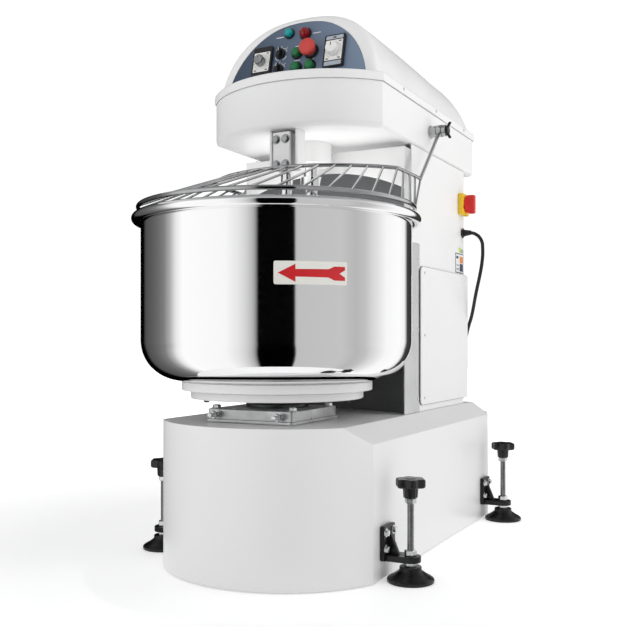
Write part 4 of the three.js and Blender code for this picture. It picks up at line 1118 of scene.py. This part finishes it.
# ---------- Studio ----------
def toned_card(name, rows, tones):
    """A stage surface that only mirror-like finishes see: rows of points, and a grey tone for each column."""
    count = len(rows[0])
    mesh = bpy.data.meshes.new(name)
    faces = [(r * count + i, r * count + i + 1, (r + 1) * count + i + 1, (r + 1) * count + i)
             for r in range(len(rows) - 1) for i in range(count - 1)]
    mesh.from_pydata([Vector(p) for row in rows for p in row], [], faces)
    layer = mesh.color_attributes.new("tone", "FLOAT_COLOR", "POINT")
    for i, item in enumerate(layer.data):
        item.color = (*[tones[i % count]] * 3, 1)
    card = new_object(name, mesh)
    mat = bpy.data.materials.new(name)
    mat.use_nodes = True
    nodes = mat.node_tree.nodes
    shader = nodes["Principled BSDF"]
    put(shader, Base_Color=(0, 0, 0, 1), Specular_IOR_Level=0, Emission_Strength=1)
    tone_node = nodes.new("ShaderNodeAttribute")
    tone_node.attribute_name = "tone"
    mat.node_tree.links.new(tone_node.outputs["Color"], shader.inputs["Emission Color"])
    mesh.materials.append(mat)
    for ray in ("camera", "diffuse", "shadow", "transmission", "volume_scatter"):
        setattr(card, "visible_" + ray, False)
    return card


# Brightness of the studio round the machine: (bearing from the front in degrees, tone).
STUDIO_TONES = ((-180, 0.02), (-165, 0.0), (-112, 0.0), (-104, 0.08), (-90, 0.11), (-80, 0.15), (-71, 0.22),
                (-63, 0.45), (-56, 0.85), (-49, 1.05), (-10, 1.0), (0, 0.85), (6, 0.7), (11, 0.5),
                (13.5, 0.3), (15.5, 0.0), (42.6, 0.0), (44.2, 0.55), (80, 0.58), (93, 0.5), (102, 0.56),
                (110, 0.72), (118, 0.85), (127, 1.0), (146, 1.05), (157, 0.95), (164, 0.05), (180, 0.03))


def studio_tone(bearing):
    for (a, low), (b, high) in zip(STUDIO_TONES, STUDIO_TONES[1:]):
        if bearing <= b:
            return low + (high - low) * (bearing - a) / (b - a)
    return STUDIO_TONES[-1][1]


def around_axis(radius, bearing, height):
    """A studio point in metres, at a bearing in degrees from the front of the bowl's axis."""
    x, y = around_bowl(radius, bearing)
    return x, y + AXIS_Y, height


def make_surround():
    bearings = [-180 + i * 0.75 for i in range(481)]
    tones = [studio_tone(bearing) for bearing in bearings]

    def ring(radius, height):
        return [around_axis(radius, b, height) for b in bearings]

    toned_card("studio_surround", [ring(0.42, 0.004), ring(3.2, 0.004), ring(3.2, 3.0)], tones)
    # A black ring just under the bowl that only mirror finishes see: painted shade, darkening the reflection
    # along the bowl's lower corner.
    toned_card("painted_shade_under_bowl", [ring(0.2145, 0.3705), ring(0.24, 0.3705)], [0.0] * len(bearings))


def area_light(name, location, target, size, power):
    data = bpy.data.lights.new(name, "AREA")
    data.shape = "RECTANGLE"
    data.size, data.size_y = size
    data.energy = power
    light = new_object(name, data)
    light.location = location
    light.rotation_euler = (Vector(target) - Vector(location)).to_track_quat("-Z", "Y").to_euler()
    light.visible_glossy = False
    light.visible_camera = False


def floor_material():
    """Pale floor that turns into the plain background away from the object."""
    mat = material("studio_floor", (0.86, 0.86, 0.86), 0.6, grain=2, mottle=(1.5, 0.01), specular=0.2)
    nodes, link = mat.node_tree.nodes, mat.node_tree.links.new
    coords = nodes.new("ShaderNodeTexCoord")
    distance = nodes.new("ShaderNodeVectorMath")
    distance.operation = "LENGTH"
    fade = nodes.new("ShaderNodeMapRange")
    put(fade, From_Min=0.7, From_Max=3.0, To_Min=0.4, To_Max=0.9)
    link(coords.outputs["Object"], distance.inputs[0])
    link(distance.outputs["Value"], fade.inputs["Value"])
    shader = nodes["Principled BSDF"]
    put(shader, Emission_Color=(1, 1, 1, 1))
    link(fade.outputs["Result"], shader.inputs["Emission Strength"])
    return mat


FLOOR_RADIUS = 14


def make_studio():
    floor_mesh = bpy.data.meshes.new("studio_floor")
    floor_mesh.from_pydata([(*polar(FLOOR_RADIUS, TAU * i / 64), 0) for i in range(64)], [],
                           [tuple(range(64))])
    floor = new_object("studio_floor", floor_mesh)
    floor_mesh.materials.append(floor_material())
    world = bpy.data.worlds.new("studio")
    scene.world = world
    world.use_nodes = True
    nodes, link = world.node_tree.nodes, world.node_tree.links.new
    coords = nodes.new("ShaderNodeTexCoord")
    split = nodes.new("ShaderNodeSeparateXYZ")
    ramp = nodes.new("ShaderNodeValToRGB")
    two_tones(ramp, (0.36, (1.07, 1.07, 1.07)), (0.9, (0.34, 0.345, 0.355)))
    link(coords.outputs["Generated"], split.inputs["Vector"])
    link(split.outputs["Z"], ramp.inputs["Fac"])
    link(ramp.outputs["Color"], nodes["Background"].inputs["Color"])
    put(nodes["Background"], Strength=1.0)
    area_light("bowl_bounce", (0.02, -0.08, 0.8), (0.02, -0.08, 1.0), (0.36, 0.3), 0.8)
    area_light("key", (1.9, 0.5, 2.5), (0.1, 0.0, 0.5), (1.6, 1.6), 14)
    make_surround()
    flag = toned_card("studio_flag", [[around_axis(1.5, b, h) for b in (30, 40, 50, 60)] for h in (0.0, 0.9)],
                      [0.0] * 4)
    flag.visible_diffuse = True
    flag.visible_glossy = False


for maker in (make_base, make_pedestal, make_bowl, make_sticker, make_column, make_head, make_panel,
              make_spiral, make_breaker, make_guard, make_electrics, make_plug, finish_carried, make_studio):
    maker()
for label, side, depth in (("front_left", -1, FOOT["front"]), ("front_right", 1, FOOT["front"]),
                           ("rear_left", -1, FOOT["rear"]), ("rear_right", 1, FOOT["rear"])):
    make_foot(label, side, depth)
